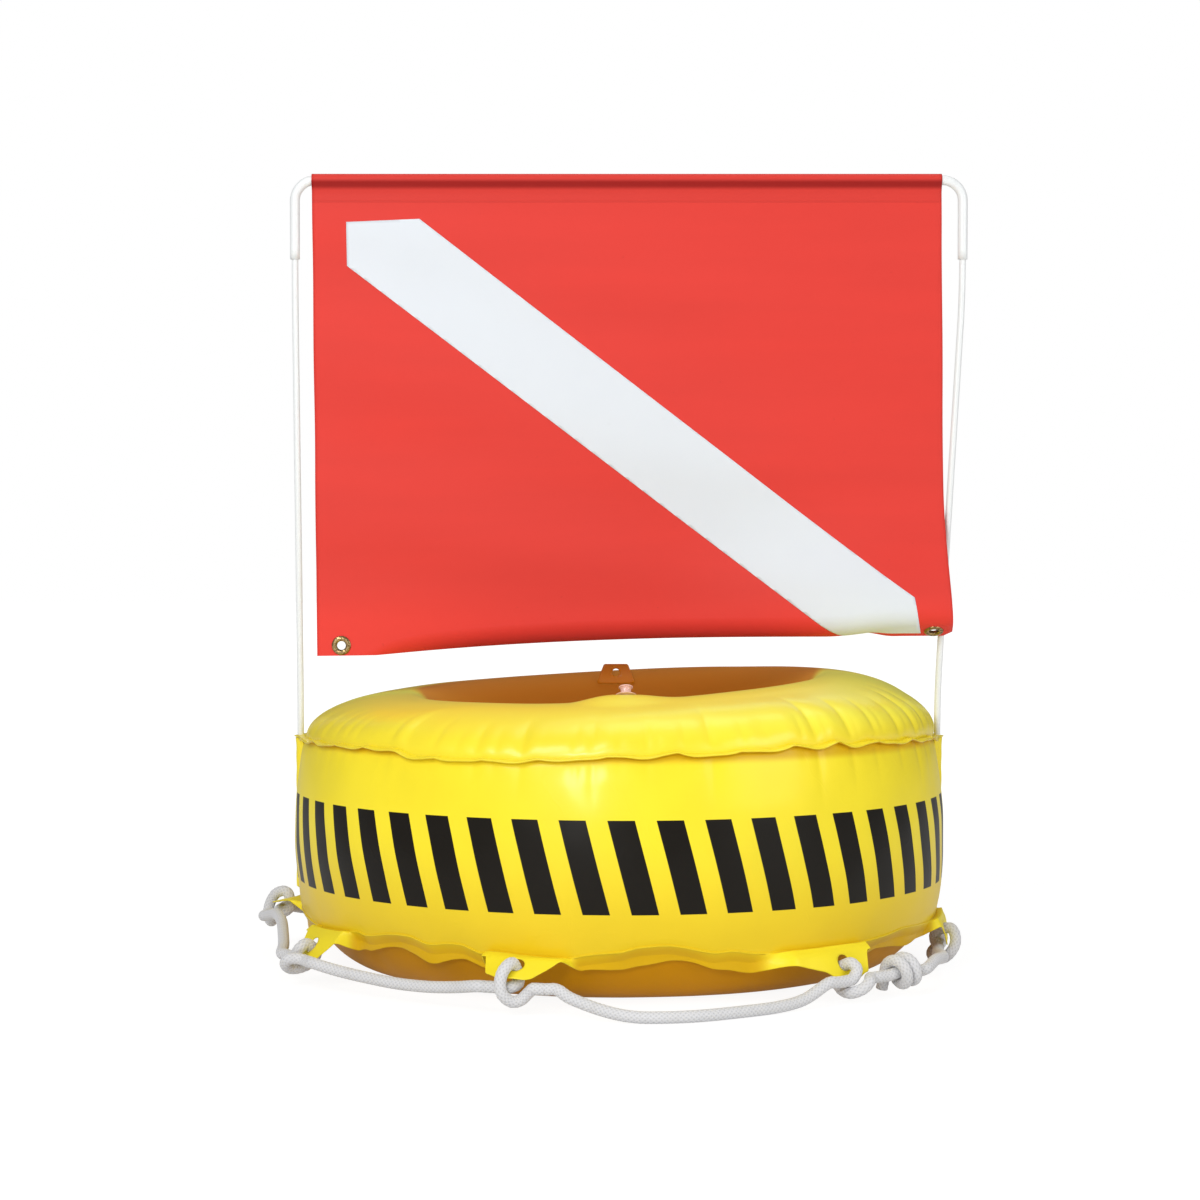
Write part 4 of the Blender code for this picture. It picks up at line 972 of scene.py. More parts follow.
# The walls' bulges, which are full below 1, and the short straight bands at their welds
bulge_fullness = 0.7
flange_rows = 4
wall_steps = 44
well_steps = 24
belly_steps = 28
well_band = 0.004
# The lining stands off the sheets that it meets, across and up, and bulges from a little inside its edges
lining_gap, lining_drop = 0.0011, 0.0006
lining_still = 0.0096
# The bottom sheet's curve: its start at the lower weld, how it leaves, and how far it runs level to the foot
belly_start = (-0.0020, -0.0006)
belly_leave = (-0.0135, -0.0125)
belly_level = 0.043
# How far the outer wall lies behind the mid face of a rod's sleeve
sleeve_seat = 0.00085
# From the rod, where the wall stops to lie flat and where it is round again
sleeve_flat = (0.019, 0.040)
# The free edge of the lower weld
weld_gap = 0.0009
# It is uneven in width (a share, and waves round the ring) and in how far it turns under (radians and waves)
edge_waves = (0.16, 19)
turn_waves = (0.10, 15)
turn_ruffle = (0.08, 29)
# It turns back by some radians past a share of its width
edge_bend = 0.6
edge_fold = 0.35
# A tab's flanks are nearly straight, its corners are cut round and its face is warped
flank_line, flank_curve = 0.55, 0.45
corner_cut, corner_span = 0.006, (0.010, 0.026)
warp, warp_waves, warp_span = 0.0014, 92, (0.008, 0.03)
# A tab starts along the bowed weld and is straight from here, and blends with the free edge beside it
tab_straight = 0.022
blend_spread, blend_full = 0.008, 0.6
lacing_rows = 24
lacing_columns = 1080


def ruffle(azimuth, seed, waves):
    """An uneven wave along a weld, with rounded lobes that hang down, still beside the rods."""
    turn = math.radians(azimuth)
    phase = waves * turn + 1.5 * math.sin(2 * turn + seed) + 1.0 * math.sin(5 * turn + 2 * seed)
    lobes = 1 - 2 * abs(math.sin(phase / 2)) ** 0.85
    other = math.sin(round(waves * 1.4) * turn + 1.4 * math.sin(3 * turn + seed))
    wave = (0.75 * lobes + 0.30 * other) * (0.72 + 0.34 * math.sin(4 * turn + seed) * math.sin(7 * turn))
    return wave * smooth_step(abs(abs(azimuth) - 90), *wave_still)


def folds_at(azimuth, seed, number, width):
    """Narrow folds that leave a weld at uneven places: the depth and the length of each that is near."""
    found = []
    position = (azimuth % 360) * number / 360
    still = smooth_step(abs(abs((azimuth + 180) % 360 - 180) - 90), *fold_still)
    for step in range(math.floor(position) - 1, math.floor(position) + 3):
        chance = math.sin(12.9898 * (step % number + seed)) * 43758.5453
        chance -= math.floor(chance)
        second = (chance * 7.31) % 1
        centre = step + 1.1 * (chance - 0.5)
        beside = (position - centre) / (width * (0.6 + 0.6 * second))
        depth = still * (0.2 + 0.8 * chance * second) * math.exp(-abs(beside) ** 1.4)
        found.append((depth, 0.022 + 0.05 * second ** 2))
    return found


def fold_depth(found, reach):
    """How deep the folds are so far from the weld."""
    depth = sum(depth * max(1 - reach / run, 0) ** 2 for depth, run in found)
    return depth * (1 - math.exp(-reach / fold_start))


def gather(azimuth):
    """The top sheet is gathered most on the right."""
    return 0.45 + 0.55 * max(math.cos(math.radians(azimuth - 55)), 0)


def crown(azimuth):
    """The share of its full height that the top reaches: it stands higher on the right and at the back."""
    turn = math.radians(azimuth)
    return 0.9725 - 0.055 * math.cos(turn) + 0.205 * math.sin(turn) - 0.0225 * math.cos(2 * turn)


def along_waves(waves, azimuth):
    """A smooth line through a table of azimuths and millimetres."""
    places = [(place - 360, size) for place, size in waves[-2:]]
    places += list(waves) + [(place + 360, size) for place, size in waves[:3]]
    for number in range(1, len(places) - 2):
        if places[number][0] <= azimuth < places[number + 1][0]:
            part = (azimuth - places[number][0]) / (places[number + 1][0] - places[number][0])
            a, b, c, d = (places[number + step][1] for step in (-1, 0, 1, 2))
            return curve_between(a, b, c, d, part) / 1000
    return 0


def lower_rim(azimuth):
    """How far the lower weld hangs below its mean height."""
    return along_waves(lower_waves, azimuth)


def dents(place, scale):
    """Broad soft dents, a little closer together up the height than round the ring."""
    return noise.noise(Vector((place.x * scale, place.y * scale, place.z * scale * 1.6)))


def top_line():
    ring = settings("ring")
    height = ring.upper_weld_height + ring.sheet / 2
    line = [(ring.upper_weld_radius + ring.upper_flange * (1 - step / 5), height) for step in range(5)]
    line += arc(ring.crest_radius, height, ring.upper_weld_radius - ring.crest_radius,
                ring.crest_height - height, 0, 90, 34)
    line += arc(ring.crest_radius, ring.well_upper_height, ring.well_upper_radius - ring.crest_radius,
                ring.crest_height - ring.well_upper_height, 90, 0, 16)[1:]
    return line + [(ring.well_upper_radius, ring.well_upper_height - step * well_band) for step in (1, 2)]


def ear(azimuth, radius, height):
    """The upper free edge spreads to an ear round each rod."""
    ring, sizes = settings("ring"), settings("frame")
    place = ring_place(azimuth, radius, height)
    edge = max((radius - ring.upper_weld_radius) / ring.upper_flange, 0)
    if abs(place.x) > sizes.rod_axis / 2:
        grown = ear_reach * math.exp(-(place.y / ear_length) ** 2) * edge
        place.x += math.copysign(grown, place.x)
    return place


def flange_rise(wave, edge):
    """How far the weld's wave lifts a sheet there: more towards the tip of the free edge, which droops."""
    return wave * (weld_share + tip_share * edge) - tip_droop * edge * edge


def upper_at(azimuth):
    """The upper weld's wave and place, the top's share of its height, the folds, and the valve's place."""
    ring = settings("ring")
    gathered = ring.pucker * gather(azimuth)
    wave = ring.ruffle * (0.75 + 0.5 * gather(azimuth)) * ruffle(azimuth, 1.7, 36)
    spot = valve_matrix().translation if abs(azimuth) < 30 else None
    folds = [(depth * gathered, run) for depth, run in folds_at(azimuth, 5, *upper_folds)]
    return wave, along_waves(upper_waves, azimuth), crown(azimuth), folds, spot


def move_top(side, row, azimuth, radius, height):
    ring, fittings = settings("ring"), settings("fittings")
    wave, lifted, share, folds, spot = side
    weld = ring.upper_weld_radius
    edge = max((radius - weld) / ring.upper_flange, 0)
    reach = max(weld - radius, 0)
    place = ear(azimuth, radius, height)
    if not edge:
        rise = (height - ring.upper_weld_height) * (share - 1)
        if spot:
            beside = (place.xy - spot.xy).length
            rise *= smooth_step(beside - fittings.valve_disc, *valve_still)
        place.z += rise
        if radius > ring.crest_radius:
            right = max(math.sin(math.radians(azimuth)), 0)
            part = min((height - ring.upper_weld_height) / shoulder_height, 1)
            place += outward(azimuth) * shoulder_push * right * right * 4 * part * (1 - part)
    place.z += flange_rise(wave, edge) * math.exp(-reach / top_wave_fade)
    place.z += lifted * (1 - smooth_step(reach, 0, top_place_fade))
    fold = fold_depth(folds, reach) if radius > ring.crest_radius else 0
    slope = min(reach / (weld - ring.crest_radius), 1)
    lean = math.radians(10 + 80 * slope)
    deep, scale = top_dent
    lift = deep * dents(place, scale) * smooth_step(reach, 0, 0.02)
    away = outward(azimuth) * math.cos(lean) + Vector((0, 0, math.sin(lean)))
    return place + away * (lift - fold)


def wall_line():
    ring = settings("ring")
    top, bottom = ring.upper_weld_height - ring.sheet / 2, ring.lower_weld_height + ring.sheet / 2
    line = [(ring.upper_weld_radius + ring.upper_flange * 0.9 * (1 - step / flange_rows), top)
            for step in range(flange_rows)]
    for step in range(wall_steps + 1):
        part = step / wall_steps
        bulge = ring.outer_bulge * math.sin(math.pi * part) ** bulge_fullness
        radius = ring.upper_weld_radius + (ring.lower_weld_radius - ring.upper_weld_radius) * part
        line.append((radius + bulge, top + (bottom - top) * part))
    lip = ring.lower_weld_radius + weld_gap
    return line + [(lip, bottom - 0.0004), (lip, bottom - 0.0016)]


def wall_at(azimuth):
    """The upper weld's wave and place, the folds under it, the folds over the lower weld, and its place."""
    wave, lifted, share, folds, spot = upper_at(azimuth)
    low = [(depth * settings("ring").pucker * 0.2, run) for depth, run in folds_at(azimuth, 11, *lower_folds)]
    return wave, lifted, [(depth * 0.4, run) for depth, run in folds], low, lower_rim(azimuth)


def move_wall(side, row, azimuth, radius, height):
    ring, sizes = settings("ring"), settings("frame")
    wave, lifted, folds, low_folds, rim = side
    weld = ring.upper_weld_radius
    if row < flange_rows:
        edge = (radius - weld) / ring.upper_flange
        place = ear(azimuth, radius, height)
        place.z += lifted + flange_rise(wave, edge)
        return place
    below, above = ring.upper_weld_height - height, max(height - ring.lower_weld_height, 0)
    place = ring_place(azimuth, radius, height)
    place.z += wave * weld_share * math.exp(-below / wall_wave_fade)
    place.z += lifted * (1 - smooth_step(below, 0, wall_place_fade))
    place.z -= rim * math.exp(-above / lower_wall_fade)
    middle = smooth_step(below, 0, 0.02) * smooth_step(above, 0, 0.02)
    push = ring.dent * middle * (dents(place, 7) + 0.45 * dents(place, 19))
    push -= fold_depth(folds, below) + fold_depth(low_folds, above)
    place += outward(azimuth) * push
    face = sizes.sleeve_face - sleeve_seat
    if abs(place.x) > face:
        # The wall lies flat behind the rod's sleeve.
        flat = 1 - smooth_step(abs(place.y), *sleeve_flat)
        flat *= smooth_step(below, 0, 0.004) * smooth_step(above, 0, 0.009)
        place.x += (math.copysign(face, place.x) - place.x) * flat
    return place


def well_line():
    ring = settings("ring")
    radius, lower = ring.well_upper_radius + lining_gap, ring.well_lower_radius + lining_gap
    high, low = ring.well_upper_height - lining_drop, ring.well_lower_height + lining_drop
    line = [(radius, high), (radius, high - well_band)]
    for step in range(well_steps + 1):
        part = step / well_steps
        bulge = ring.well_bulge * math.sin(math.pi * part) ** bulge_fullness
        line.append((radius + (lower - radius) * part - bulge,
                     high - lining_still + (low - high + 2 * lining_still) * part))
    return line + [(lower, low + well_band), (lower, low)]


def move_well(share, row, azimuth, radius, height):
    """Follows the top sheet, which rises and falls by its share of the height, and dents the lining."""
    ring = settings("ring")
    place = ring_place(azimuth, radius, height)
    low, high = ring.well_lower_height, ring.well_upper_height
    middle = math.sin(math.pi * (height - low) / (high - low))
    rise = (share - 1) * (high - ring.upper_weld_height)
    place.z += rise * smooth_step(height, 0.16, high - well_band)
    deep, scale = well_dent
    return place + outward(azimuth) * deep * dents(place, scale) * max(middle, 0)


def belly_line():
    """From under the lower weld down to the foot, then up to the well's lining."""
    ring = settings("ring")
    start = Vector((ring.lower_weld_radius, ring.lower_weld_height)) + Vector(belly_start)
    corners = (start, start + Vector(belly_leave),
               Vector((ring.foot_outer_radius + belly_level, ring.sheet / 2)),
               Vector((ring.foot_outer_radius, ring.sheet / 2)))
    line = []
    for step in range(belly_steps + 1):
        part = step / belly_steps
        weights = ((1 - part) ** 3, 3 * part * (1 - part) ** 2, 3 * part * part * (1 - part), part ** 3)
        line.append(tuple(sum((corner * weight for corner, weight in zip(corners, weights)), Vector((0, 0)))))
    line += arc(ring.foot_inner_radius, ring.well_lower_height,
                ring.well_lower_radius - ring.foot_inner_radius,
                ring.sheet / 2 - ring.well_lower_height, 90, 0, 8)
    return line + [(ring.well_lower_radius, ring.well_lower_height + step * well_band) for step in (1, 2)]


def belly_at(azimuth):
    """The lower weld's place and the folds under it."""
    deep = settings("ring").pucker * 0.3
    return lower_rim(azimuth), [(depth * deep, run) for depth, run in folds_at(azimuth, 23, *lower_folds)]


def move_belly(side, row, azimuth, radius, height):
    ring = settings("ring")
    rim, folds = side
    reach = max(ring.lower_weld_radius - radius, 0)
    place = ring_place(azimuth, radius, height)
    if radius > ring.foot_outer_radius:
        place.z -= rim * math.exp(-reach / lower_belly_fade)
        deep, scale = belly_dent
        push = (deep * dents(place, scale) - fold_depth(folds, reach)) * min(height / 0.01, 1)
        place += (outward(azimuth) * 0.6 - Vector((0, 0, 0.8))) * push
    place.z = max(place.z, ring.sheet / 2)
    return place


def tab_beside(azimuth):
    """The nearest tab, and how far round the ring an azimuth is from it, in metres."""
    ring, lacing = settings("ring"), settings("lacing")
    radius = ring.lower_weld_radius + lacing.root_reach
    gaps = [((azimuth - tab[0] + 180) % 360 - 180, number) for number, tab in enumerate(tabs)]
    gap, number = min(gaps, key=lambda item: abs(item[0]))
    return number, math.radians(gap) * radius


def tab_share(number, beside, spread=0.0):
    """1 across a tab's tip, 0 beyond its root, with nearly straight flanks."""
    left_tip, left_root, right_tip, right_root = tab_outlines[number]
    tip, root = (left_tip, left_root) if beside < 0 else (right_tip, right_root)
    tip, root = tip + spread, root + spread
    part = min(max((abs(beside) - tip) / (root - tip), 0), 1)
    return 1 - flank_line * part - flank_curve * smooth_step(part, 0, 1)


def lacing_width(azimuth, number, beside):
    """The width of the free edge at a distance from a tab's middle."""
    lacing = settings("lacing")
    full = lacing.root_reach + lacing.tab_length * tabs[number][3]
    uneven, waves = edge_waves
    free = lacing.free_edge * (1 + uneven * math.sin(math.radians(azimuth) * waves + 0.7))
    part = tab_share(number, beside)
    return free + (full - free) * part - corner_cut * smooth_step(abs(beside), *corner_span) * part


def lacing_place(azimuth, number, beside, out):
    """A point of the free edge, so far out from the lower weld: on a tab, or tucked under between two."""
    ring, lacing = settings("ring"), settings("lacing")
    root, hole, along, down, off = tab_frame(number)
    level = outward(tabs[number][0])
    bowed = outward(azimuth) * (ring.lower_weld_radius + weld_gap)
    bowed += Vector((0, 0, ring.lower_weld_height - lower_rim(azimuth)))
    run = level * min(out, lacing.root_reach) + down * max(out - lacing.root_reach, 0)
    on_tab = root - level * lacing.root_reach + along * beside + run
    on_tab += off * warp * math.sin(beside * warp_waves + number) * smooth_step(out, *warp_span)
    on_tab += (bowed + run - on_tab) * (1 - smooth_step(out, 0, tab_straight))
    turn = lacing.free_edge_turn + turn_waves[0] * math.sin(math.radians(azimuth) * turn_waves[1])
    turn += turn_ruffle[0] * ruffle(azimuth, 2.2, turn_ruffle[1])
    bend = lacing.free_edge * edge_bend
    first = outward(azimuth) * math.cos(turn) - Vector((0, 0, math.sin(turn)))
    second = outward(azimuth) * math.cos(turn - edge_fold) - Vector((0, 0, math.sin(turn - edge_fold)))
    hanging = bowed + first * min(out, bend) + second * max(out - bend, 0)
    part = smooth_step(tab_share(number, beside, blend_spread), 0, blend_full)
    return hanging + (on_tab - hanging) * part


def lacing_edge():
    """The free edge of the lower weld with its tabs and their holes, as one sheet."""
    lacing = settings("lacing")
    bm = spun_sheet([(1, step) for step in range(lacing_rows + 1)], lacing_columns,
                    lambda side, row, azimuth, radius, height: Vector((azimuth, row / lacing_rows, 0)))
    for vert in bm.verts:
        number, beside = tab_beside(vert.co.x)
        vert.co.z = vert.co.x
        vert.co.x, vert.co.y = beside, lacing_width(vert.co.z, number, beside) * vert.co.y
    holes = [lacing.root_reach + lacing.tab_length * tab[3] - lacing.hole_margin for tab in tabs]
    inside = []
    for face in bm.faces:
        beside = [vert.co.x for vert in face.verts]
        if max(beside) - min(beside) < 0.01:
            number = tab_beside(face.verts[0].co.z)[0]
            centre = face.calc_center_median()
            if math.hypot(centre.x, centre.y - holes[number]) < lacing.hole_radius:
                inside.append(face)
    bmesh.ops.delete(bm, geom=inside, context="FACES")
    for vert in bm.verts:
        if vert.is_boundary and vert.co.y > 0.0001:
            number = tab_beside(vert.co.z)[0]
            side = Vector((vert.co.x, vert.co.y - holes[number]))
            if side.length < lacing.hole_radius * 1.35:
                side = side.normalized() * lacing.hole_radius
                vert.co.x, vert.co.y = side.x, side.y + holes[number]
    for vert in bm.verts:
        azimuth = vert.co.z
        number = tab_beside(azimuth)[0]
        vert.co = lacing_place(azimuth, number, vert.co.x, vert.co.y)
    face_out(bm)
    return bm


class FLOAT_OT_ring(bpy.types.Operator):
    """Inflate the ring: top sheet, outer wall, well lining, bottom sheet and the free edge with its tabs"""
    bl_idname = "dive_float.ring"
    bl_label = "Air ring"

    def execute(self, context):
        ring = settings("ring")
        columns, sheet = ring.columns, ring.sheet
        bm = spun_sheet(top_line(), columns, move_top, upper_at)
        add_piece("top_sheet", bm, top_vinyl, "float", ["top_panel"], sheet)
        bm = spun_sheet(wall_line(), columns, move_wall, wall_at)
        add_piece("outer_sheet", bm, printed_vinyl, "float", ["outer_wall"], sheet)
        bm = spun_sheet(well_line(), columns // 2, move_well, crown)
        add_piece("well_lining", bm, well_vinyl, "float", ["inner_wall"], sheet)
        bm = spun_sheet(belly_line(), columns // 2, move_belly, belly_at)
        add_piece("bottom_sheet", bm, under_vinyl, "float", ["bottom_panel"], sheet)
        add_piece("lacing_edge", lacing_edge(), edge_vinyl, "float", ["bottom_panel"], sheet)
        return {"FINISHED"}


# What is welded on the ring

# A rod's sleeve: room round the rod, the flare and length of its mouth, and how uneven it lies
sleeve_clearance = 0.0007
mouth_flare, mouth_length = 0.10, 0.012
sleeve_edge_wave = 0.035
sleeve_ripple = 0.0002
sleeve_rows = 44
hand_tab_rings = 6
# How far the hand tab's corners reach from its hole, straight up and what the sides add
hand_tab_round = (0.0135, 0.012)
# The valve: degrees from the front, how far inside the crest, and its lean to the well
valve_azimuth = 1.5
valve_inset = 0.0094
valve_tilt = math.radians(25)
valve_bore = 0.0032
valve_root = 0.010
stopper_plug = 0.0025
strap_half_width = 0.00225
strap_thickness = 0.0009


def sleeve_sheet(side):
    """A welded strip with a hump round the rod, pinched shut below the rod's foot."""
    sizes = settings("frame")
    bore = sizes.rod_diameter / 2 + sleeve_clearance
    hump = sizes.rod_axis - sizes.sleeve_face
    bm = bmesh.new()
    line = [(-sizes.sleeve_half_width * (1 - step / 6 * 0.66), 0) for step in range(6)]
    line += arc(0, hump, bore, bore, 180, 0, 14)
    line += [(-across, off) for across, off in line[5::-1]]
    verts = [bm.verts.new((across, off, 0)) for across, off in line]
    edges = [bm.edges.new(pair) for pair in zip(verts, verts[1:])]
    pull(bm, verts, edges, (0, 0, 1), sleeve_rows)
    for vert in bm.verts:
        across, off, part = vert.co.x, vert.co.y, (1 - vert.co.z / sleeve_rows) ** 1.6
        height = sizes.sleeve_top + (sizes.sleeve_foot - sizes.sleeve_top) * part
        open_share = smooth_step(height, sizes.sleeve_foot, sizes.rod_foot - 0.001)
        mouth = smooth_step(height, sizes.sleeve_top - mouth_length, sizes.sleeve_top)
        off *= open_share * (1 + mouth_flare * mouth)
        if abs(across) > sizes.sleeve_half_width * 0.9:
            across *= 1 + sleeve_edge_wave * math.sin(height * 190 + side)
        off += sleeve_ripple * math.sin(height * 260 + across * 500)
        vert.co = Vector((side * (sizes.sleeve_face + off), side * across, height))
    face_out(bm)
    return bm


def hand_tab():
    """An upright flap with rounded corners, grown outwards from the rim of its hole."""
    sizes, ring = settings("fittings"), settings("ring")
    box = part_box("rear_tab")
    centre_x, back = (box[0][0] + box[1][0]) / 2, (box[0][1] + box[1][1]) / 2
    foot = box[0][2]
    hole = ring.crest_height - foot
    corners = ((-sizes.hand_tab_width / 2, -hole), (sizes.hand_tab_width / 2, -hole),
               (sizes.hand_tab_tip / 2, sizes.hand_tab_height - hole),
               (-sizes.hand_tab_tip / 2, sizes.hand_tab_height - hole))
    bm = bmesh.new()
    bmesh.ops.create_circle(bm, cap_ends=False, segments=56, radius=sizes.hand_tab_hole)
    edges = bm.edges[:]
    up_reach, side_reach = hand_tab_round
    for step in range(hand_tab_rings):
        grown = bmesh.ops.extrude_edge_only(bm, edges=edges)["geom"]
        edges = [item for item in grown if isinstance(item, bmesh.types.BMEdge)]
        for vert in {vert for edge in edges for vert in edge.verts}:
            way = vert.co.xy.normalized()
            reach = min(edge_reach(way, start, end) for start, end in zip(corners, corners[1:] + corners[:1]))
            reach = min(reach, up_reach + side_reach * abs(way.x))
            part = (step + 1) / hand_tab_rings
            vert.co.xy = way * (sizes.hand_tab_hole + (reach - sizes.hand_tab_hole) * part)
    for vert in bm.verts:
        across, up = vert.co.x, vert.co.y
        lean = 0.0012 * math.sin(across * 110) * smooth_step(up, -0.008, 0.008)
        vert.co = Vector((centre_x + across, back + lean * 0.3, foot + hole + up))
    face_out(bm)
    return bm


def edge_reach(way, start, end):
    """How far a ray from the middle runs to the line through two corners: no end if it turns away."""
    side = Vector((end[1] - start[1], start[0] - end[0])).normalized()
    facing = way.dot(side)
    return Vector(start).dot(side) / facing if facing > 0.001 else math.inf


def valve_matrix():
    """A frame on the top sheet where the valve is welded, with Z along its stem and X towards the well."""
    ring = settings("ring")
    radius = ring.crest_radius - valve_inset
    rise = math.sqrt(1 - (valve_inset / (ring.crest_radius - ring.well_upper_radius)) ** 2)
    height = ring.well_upper_height + (ring.crest_height + 0.0004 - ring.well_upper_height) * rise
    inward = -outward(valve_azimuth)
    up = inward * math.sin(valve_tilt) + Vector((0, 0, math.cos(valve_tilt)))
    across = inward * math.cos(valve_tilt) - Vector((0, 0, math.sin(valve_tilt)))
    matrix = Matrix((across, up.cross(across), up)).transposed().to_4x4()
    matrix.translation = ring_place(valve_azimuth, radius, height) + up * touch_gap
    return matrix


def valve_stopper(matrix):
    """A mushroom stopper and the strap that ties it to the valve."""
    sizes = settings("fittings")
    foot, head, bend = sizes.valve_height + touch_gap, sizes.valve_cap, sizes.pivot_reach
    low = foot - stopper_plug
    outline = ((0, low), (0.0021, low), (0.0026, foot), (head, foot), (head, foot + 0.0011),
               (head * 0.72, foot + 0.0017), (head * 0.35, foot + 0.0019), (0, foot + 0.0019))
    bm = turned(outline, matrix, 40, 0.0002)
    strap = bmesh.new()
    middle = foot + 0.0008
    line = ((head - 0.0008, middle), (bend - 0.0022, middle), (bend - 0.0006, middle - 0.0005),
            (bend, middle - 0.0022), (bend, 0.0016))
    verts = [strap.verts.new((reach, -strap_half_width, height)) for reach, height in line]
    edges = [strap.edges.new(pair) for pair in zip(verts, verts[1:])]
    pull(strap, verts, edges, (0, strap_half_width / 2, 0), 4)
    bmesh.ops.solidify(strap, geom=strap.faces[:], thickness=strap_thickness)
    face_out(strap)
    bmesh.ops.transform(strap, matrix=matrix, verts=strap.verts[:])
    mesh = bpy.data.meshes.new("strap")
    strap.to_mesh(mesh)
    strap.free()
    bm.from_mesh(mesh)
    bpy.data.meshes.remove(mesh)
    return bm


class FLOAT_OT_fittings(bpy.types.Operator):
    """Weld on the rod sleeves, the rear hand tab and the valve with its stopper"""
    bl_idname = "dive_float.fittings"
    bl_label = "Welded fittings"

    def execute(self, context):
        sizes = settings("fittings")
        for name, side in (("left", -1), ("right", 1)):
            add_piece("rod_sleeve_" + name, sleeve_sheet(side), yellow_vinyl, "float",
                      ["rod_pocket_" + name], 0.0008)
        add_piece("hand_tab", hand_tab(), tab_vinyl, "float", ["rear_tab"], 0.001)
        matrix = valve_matrix()
        disc, stem, high = sizes.valve_disc, sizes.valve_stem, sizes.valve_height
        lip = stem + 0.0006
        outline = ((valve_bore, -valve_root), (stem, -valve_root), (stem, 0), (disc, 0), (disc, 0.0007),
                   (stem + 0.0012, 0.0011), (stem, 0.0022), (stem, high - 0.0012), (lip, high - 0.0008),
                   (lip, high), (valve_bore, high))
        add_piece("valve_body", turned(outline, matrix, 40, 0.00018), valve_plastic, "float",
                  ["valve_base"])
        add_piece("valve_stopper_cap", valve_stopper(matrix), valve_plastic, "valve_stopper",
                  ["valve_cap"])
        return {"FINISHED"}


# Rods and tube

# The share of a rod's S in which its lean grows or fades, and the steps along it
lean_ease = 0.15
lean_steps = 24


def rod_points(side, leg_x):
    """A rod: upright in its sleeve and in the tube's leg, with a long easy S between them."""
    sizes = settings("frame")
    leg_end = sizes.tube_height - sizes.leg_length
    foot_x, ease, start = side * sizes.rod_axis, lean_ease, sizes.rod_straight_top
    points = [(foot_x, 0, sizes.rod_foot), (foot_x, 0, start - 0.04)]
    for step in range(lean_steps + 1):
        part = step / lean_steps
        if part < ease:
            moved = part * part / (2 * ease * (1 - ease))
        elif part > 1 - ease:
            moved = 1 - (1 - part) ** 2 / (2 * ease * (1 - ease))
        else:
            moved = (part - ease / 2) / (1 - ease)
        points.append((foot_x + (leg_x - foot_x) * moved, 0, start + (leg_end - start) * part))
    top = sizes.tube_height - sizes.tube_bend - touch_gap
    return points + [(leg_x, 0, leg_end + 0.02), (leg_x, 0, top)]


def tube_points():
    """Up the left leg, over the top and down the right leg."""
    sizes = settings("frame")
    left, right, bend = sizes.left_leg, sizes.right_leg, sizes.tube_bend
    leg_end, height = sizes.tube_height - sizes.leg_length, sizes.tube_height - bend
    reach = right - left - 2 * bend
    line = [(left, leg_end + (height - leg_end) * step / 6) for step in range(6)]
    line += arc(left + bend, height, bend, bend, 180, 90, 14)
    line += [(left + bend + reach * step / 30, sizes.tube_height) for step in range(1, 30)]
    line += arc(right - bend, height, bend, bend, 90, 0, 14)
    line += [(right, height + (leg_end - height) * step / 6) for step in range(1, 7)]
    return [(x, 0, z) for x, z in line]


class FLOAT_OT_frame(bpy.types.Operator):
    """Stand the two rods in their sleeves and slip the U tube over them"""
    bl_idname = "dive_float.frame"
    bl_label = "Rods and tube"

    def execute(self, context):
        sizes = settings("frame")
        for name, side, leg in (("left", -1, sizes.left_leg), ("right", 1, sizes.right_leg)):
            bm = swept_tube(rod_points(side, leg), sizes.rod_diameter / 2, 24)
            add_piece("white_rod_" + name, bm, white_plastic, "frame", ["rod_" + name])
        bm = swept_tube(tube_points(), sizes.tube_diameter / 2 - sizes.tube_wall / 2, 32, caps=False)
        add_piece("white_tube", bm, white_plastic, "flag_bar", ["top_tube"], sizes.tube_wall)
        return {"FINISHED"}


# The flag

# From the left grommet to where the hem begins to rise, and how it rises from there
hem_still = 0.0147
hem_run = 0.185
hem_power = 1.15
# How far the hem curls back, in degrees, and how far at the right corner. Spans are shares of the width.
hem_turn = 118
corner_turn = 60
corner_turn_span = (0.828, 0.918)
corner_lift = 0.0069
corner_lift_span = (0.81, 0.93)
corner_push_span = (0.538, 0.928)
# Above the hem, where the corner's swing to the front begins
corner_push_height = 0.1636
# Shares of the width and of the height where the corner begins to spread, and how far the foot moves over
flare_side, flare_depth = 0.9, 0.6
foot_shift = 0.004
small_ripple = 0.0009
# The sleeve's turn round the tube in degrees, from behind over the top to the front
sleeve_turn = (-20, 200)
hang_rows = 96
curl_rows = 30
punch_sides = 14
# The rolled rim over the cloth, and the lip turned out behind the washer
grommet_rim = 0.0014
grommet_lip_radius = 0.0062
grommet_lip = 0.0009


def flag_edges():
    """Heights of the top of the sleeve and of the top of the panel, and the sleeve's radius."""
    flag, sizes = settings("flag"), settings("frame")
    radius = sizes.tube_diameter / 2 + flag.clearance + flag.cloth
    return sizes.tube_height + radius, sizes.tube_height - flag.pinch, radius


def foot_height(x):
    flag = settings("flag")
    return flag.foot + flag.foot_rise * (x - flag.left) / flag.width


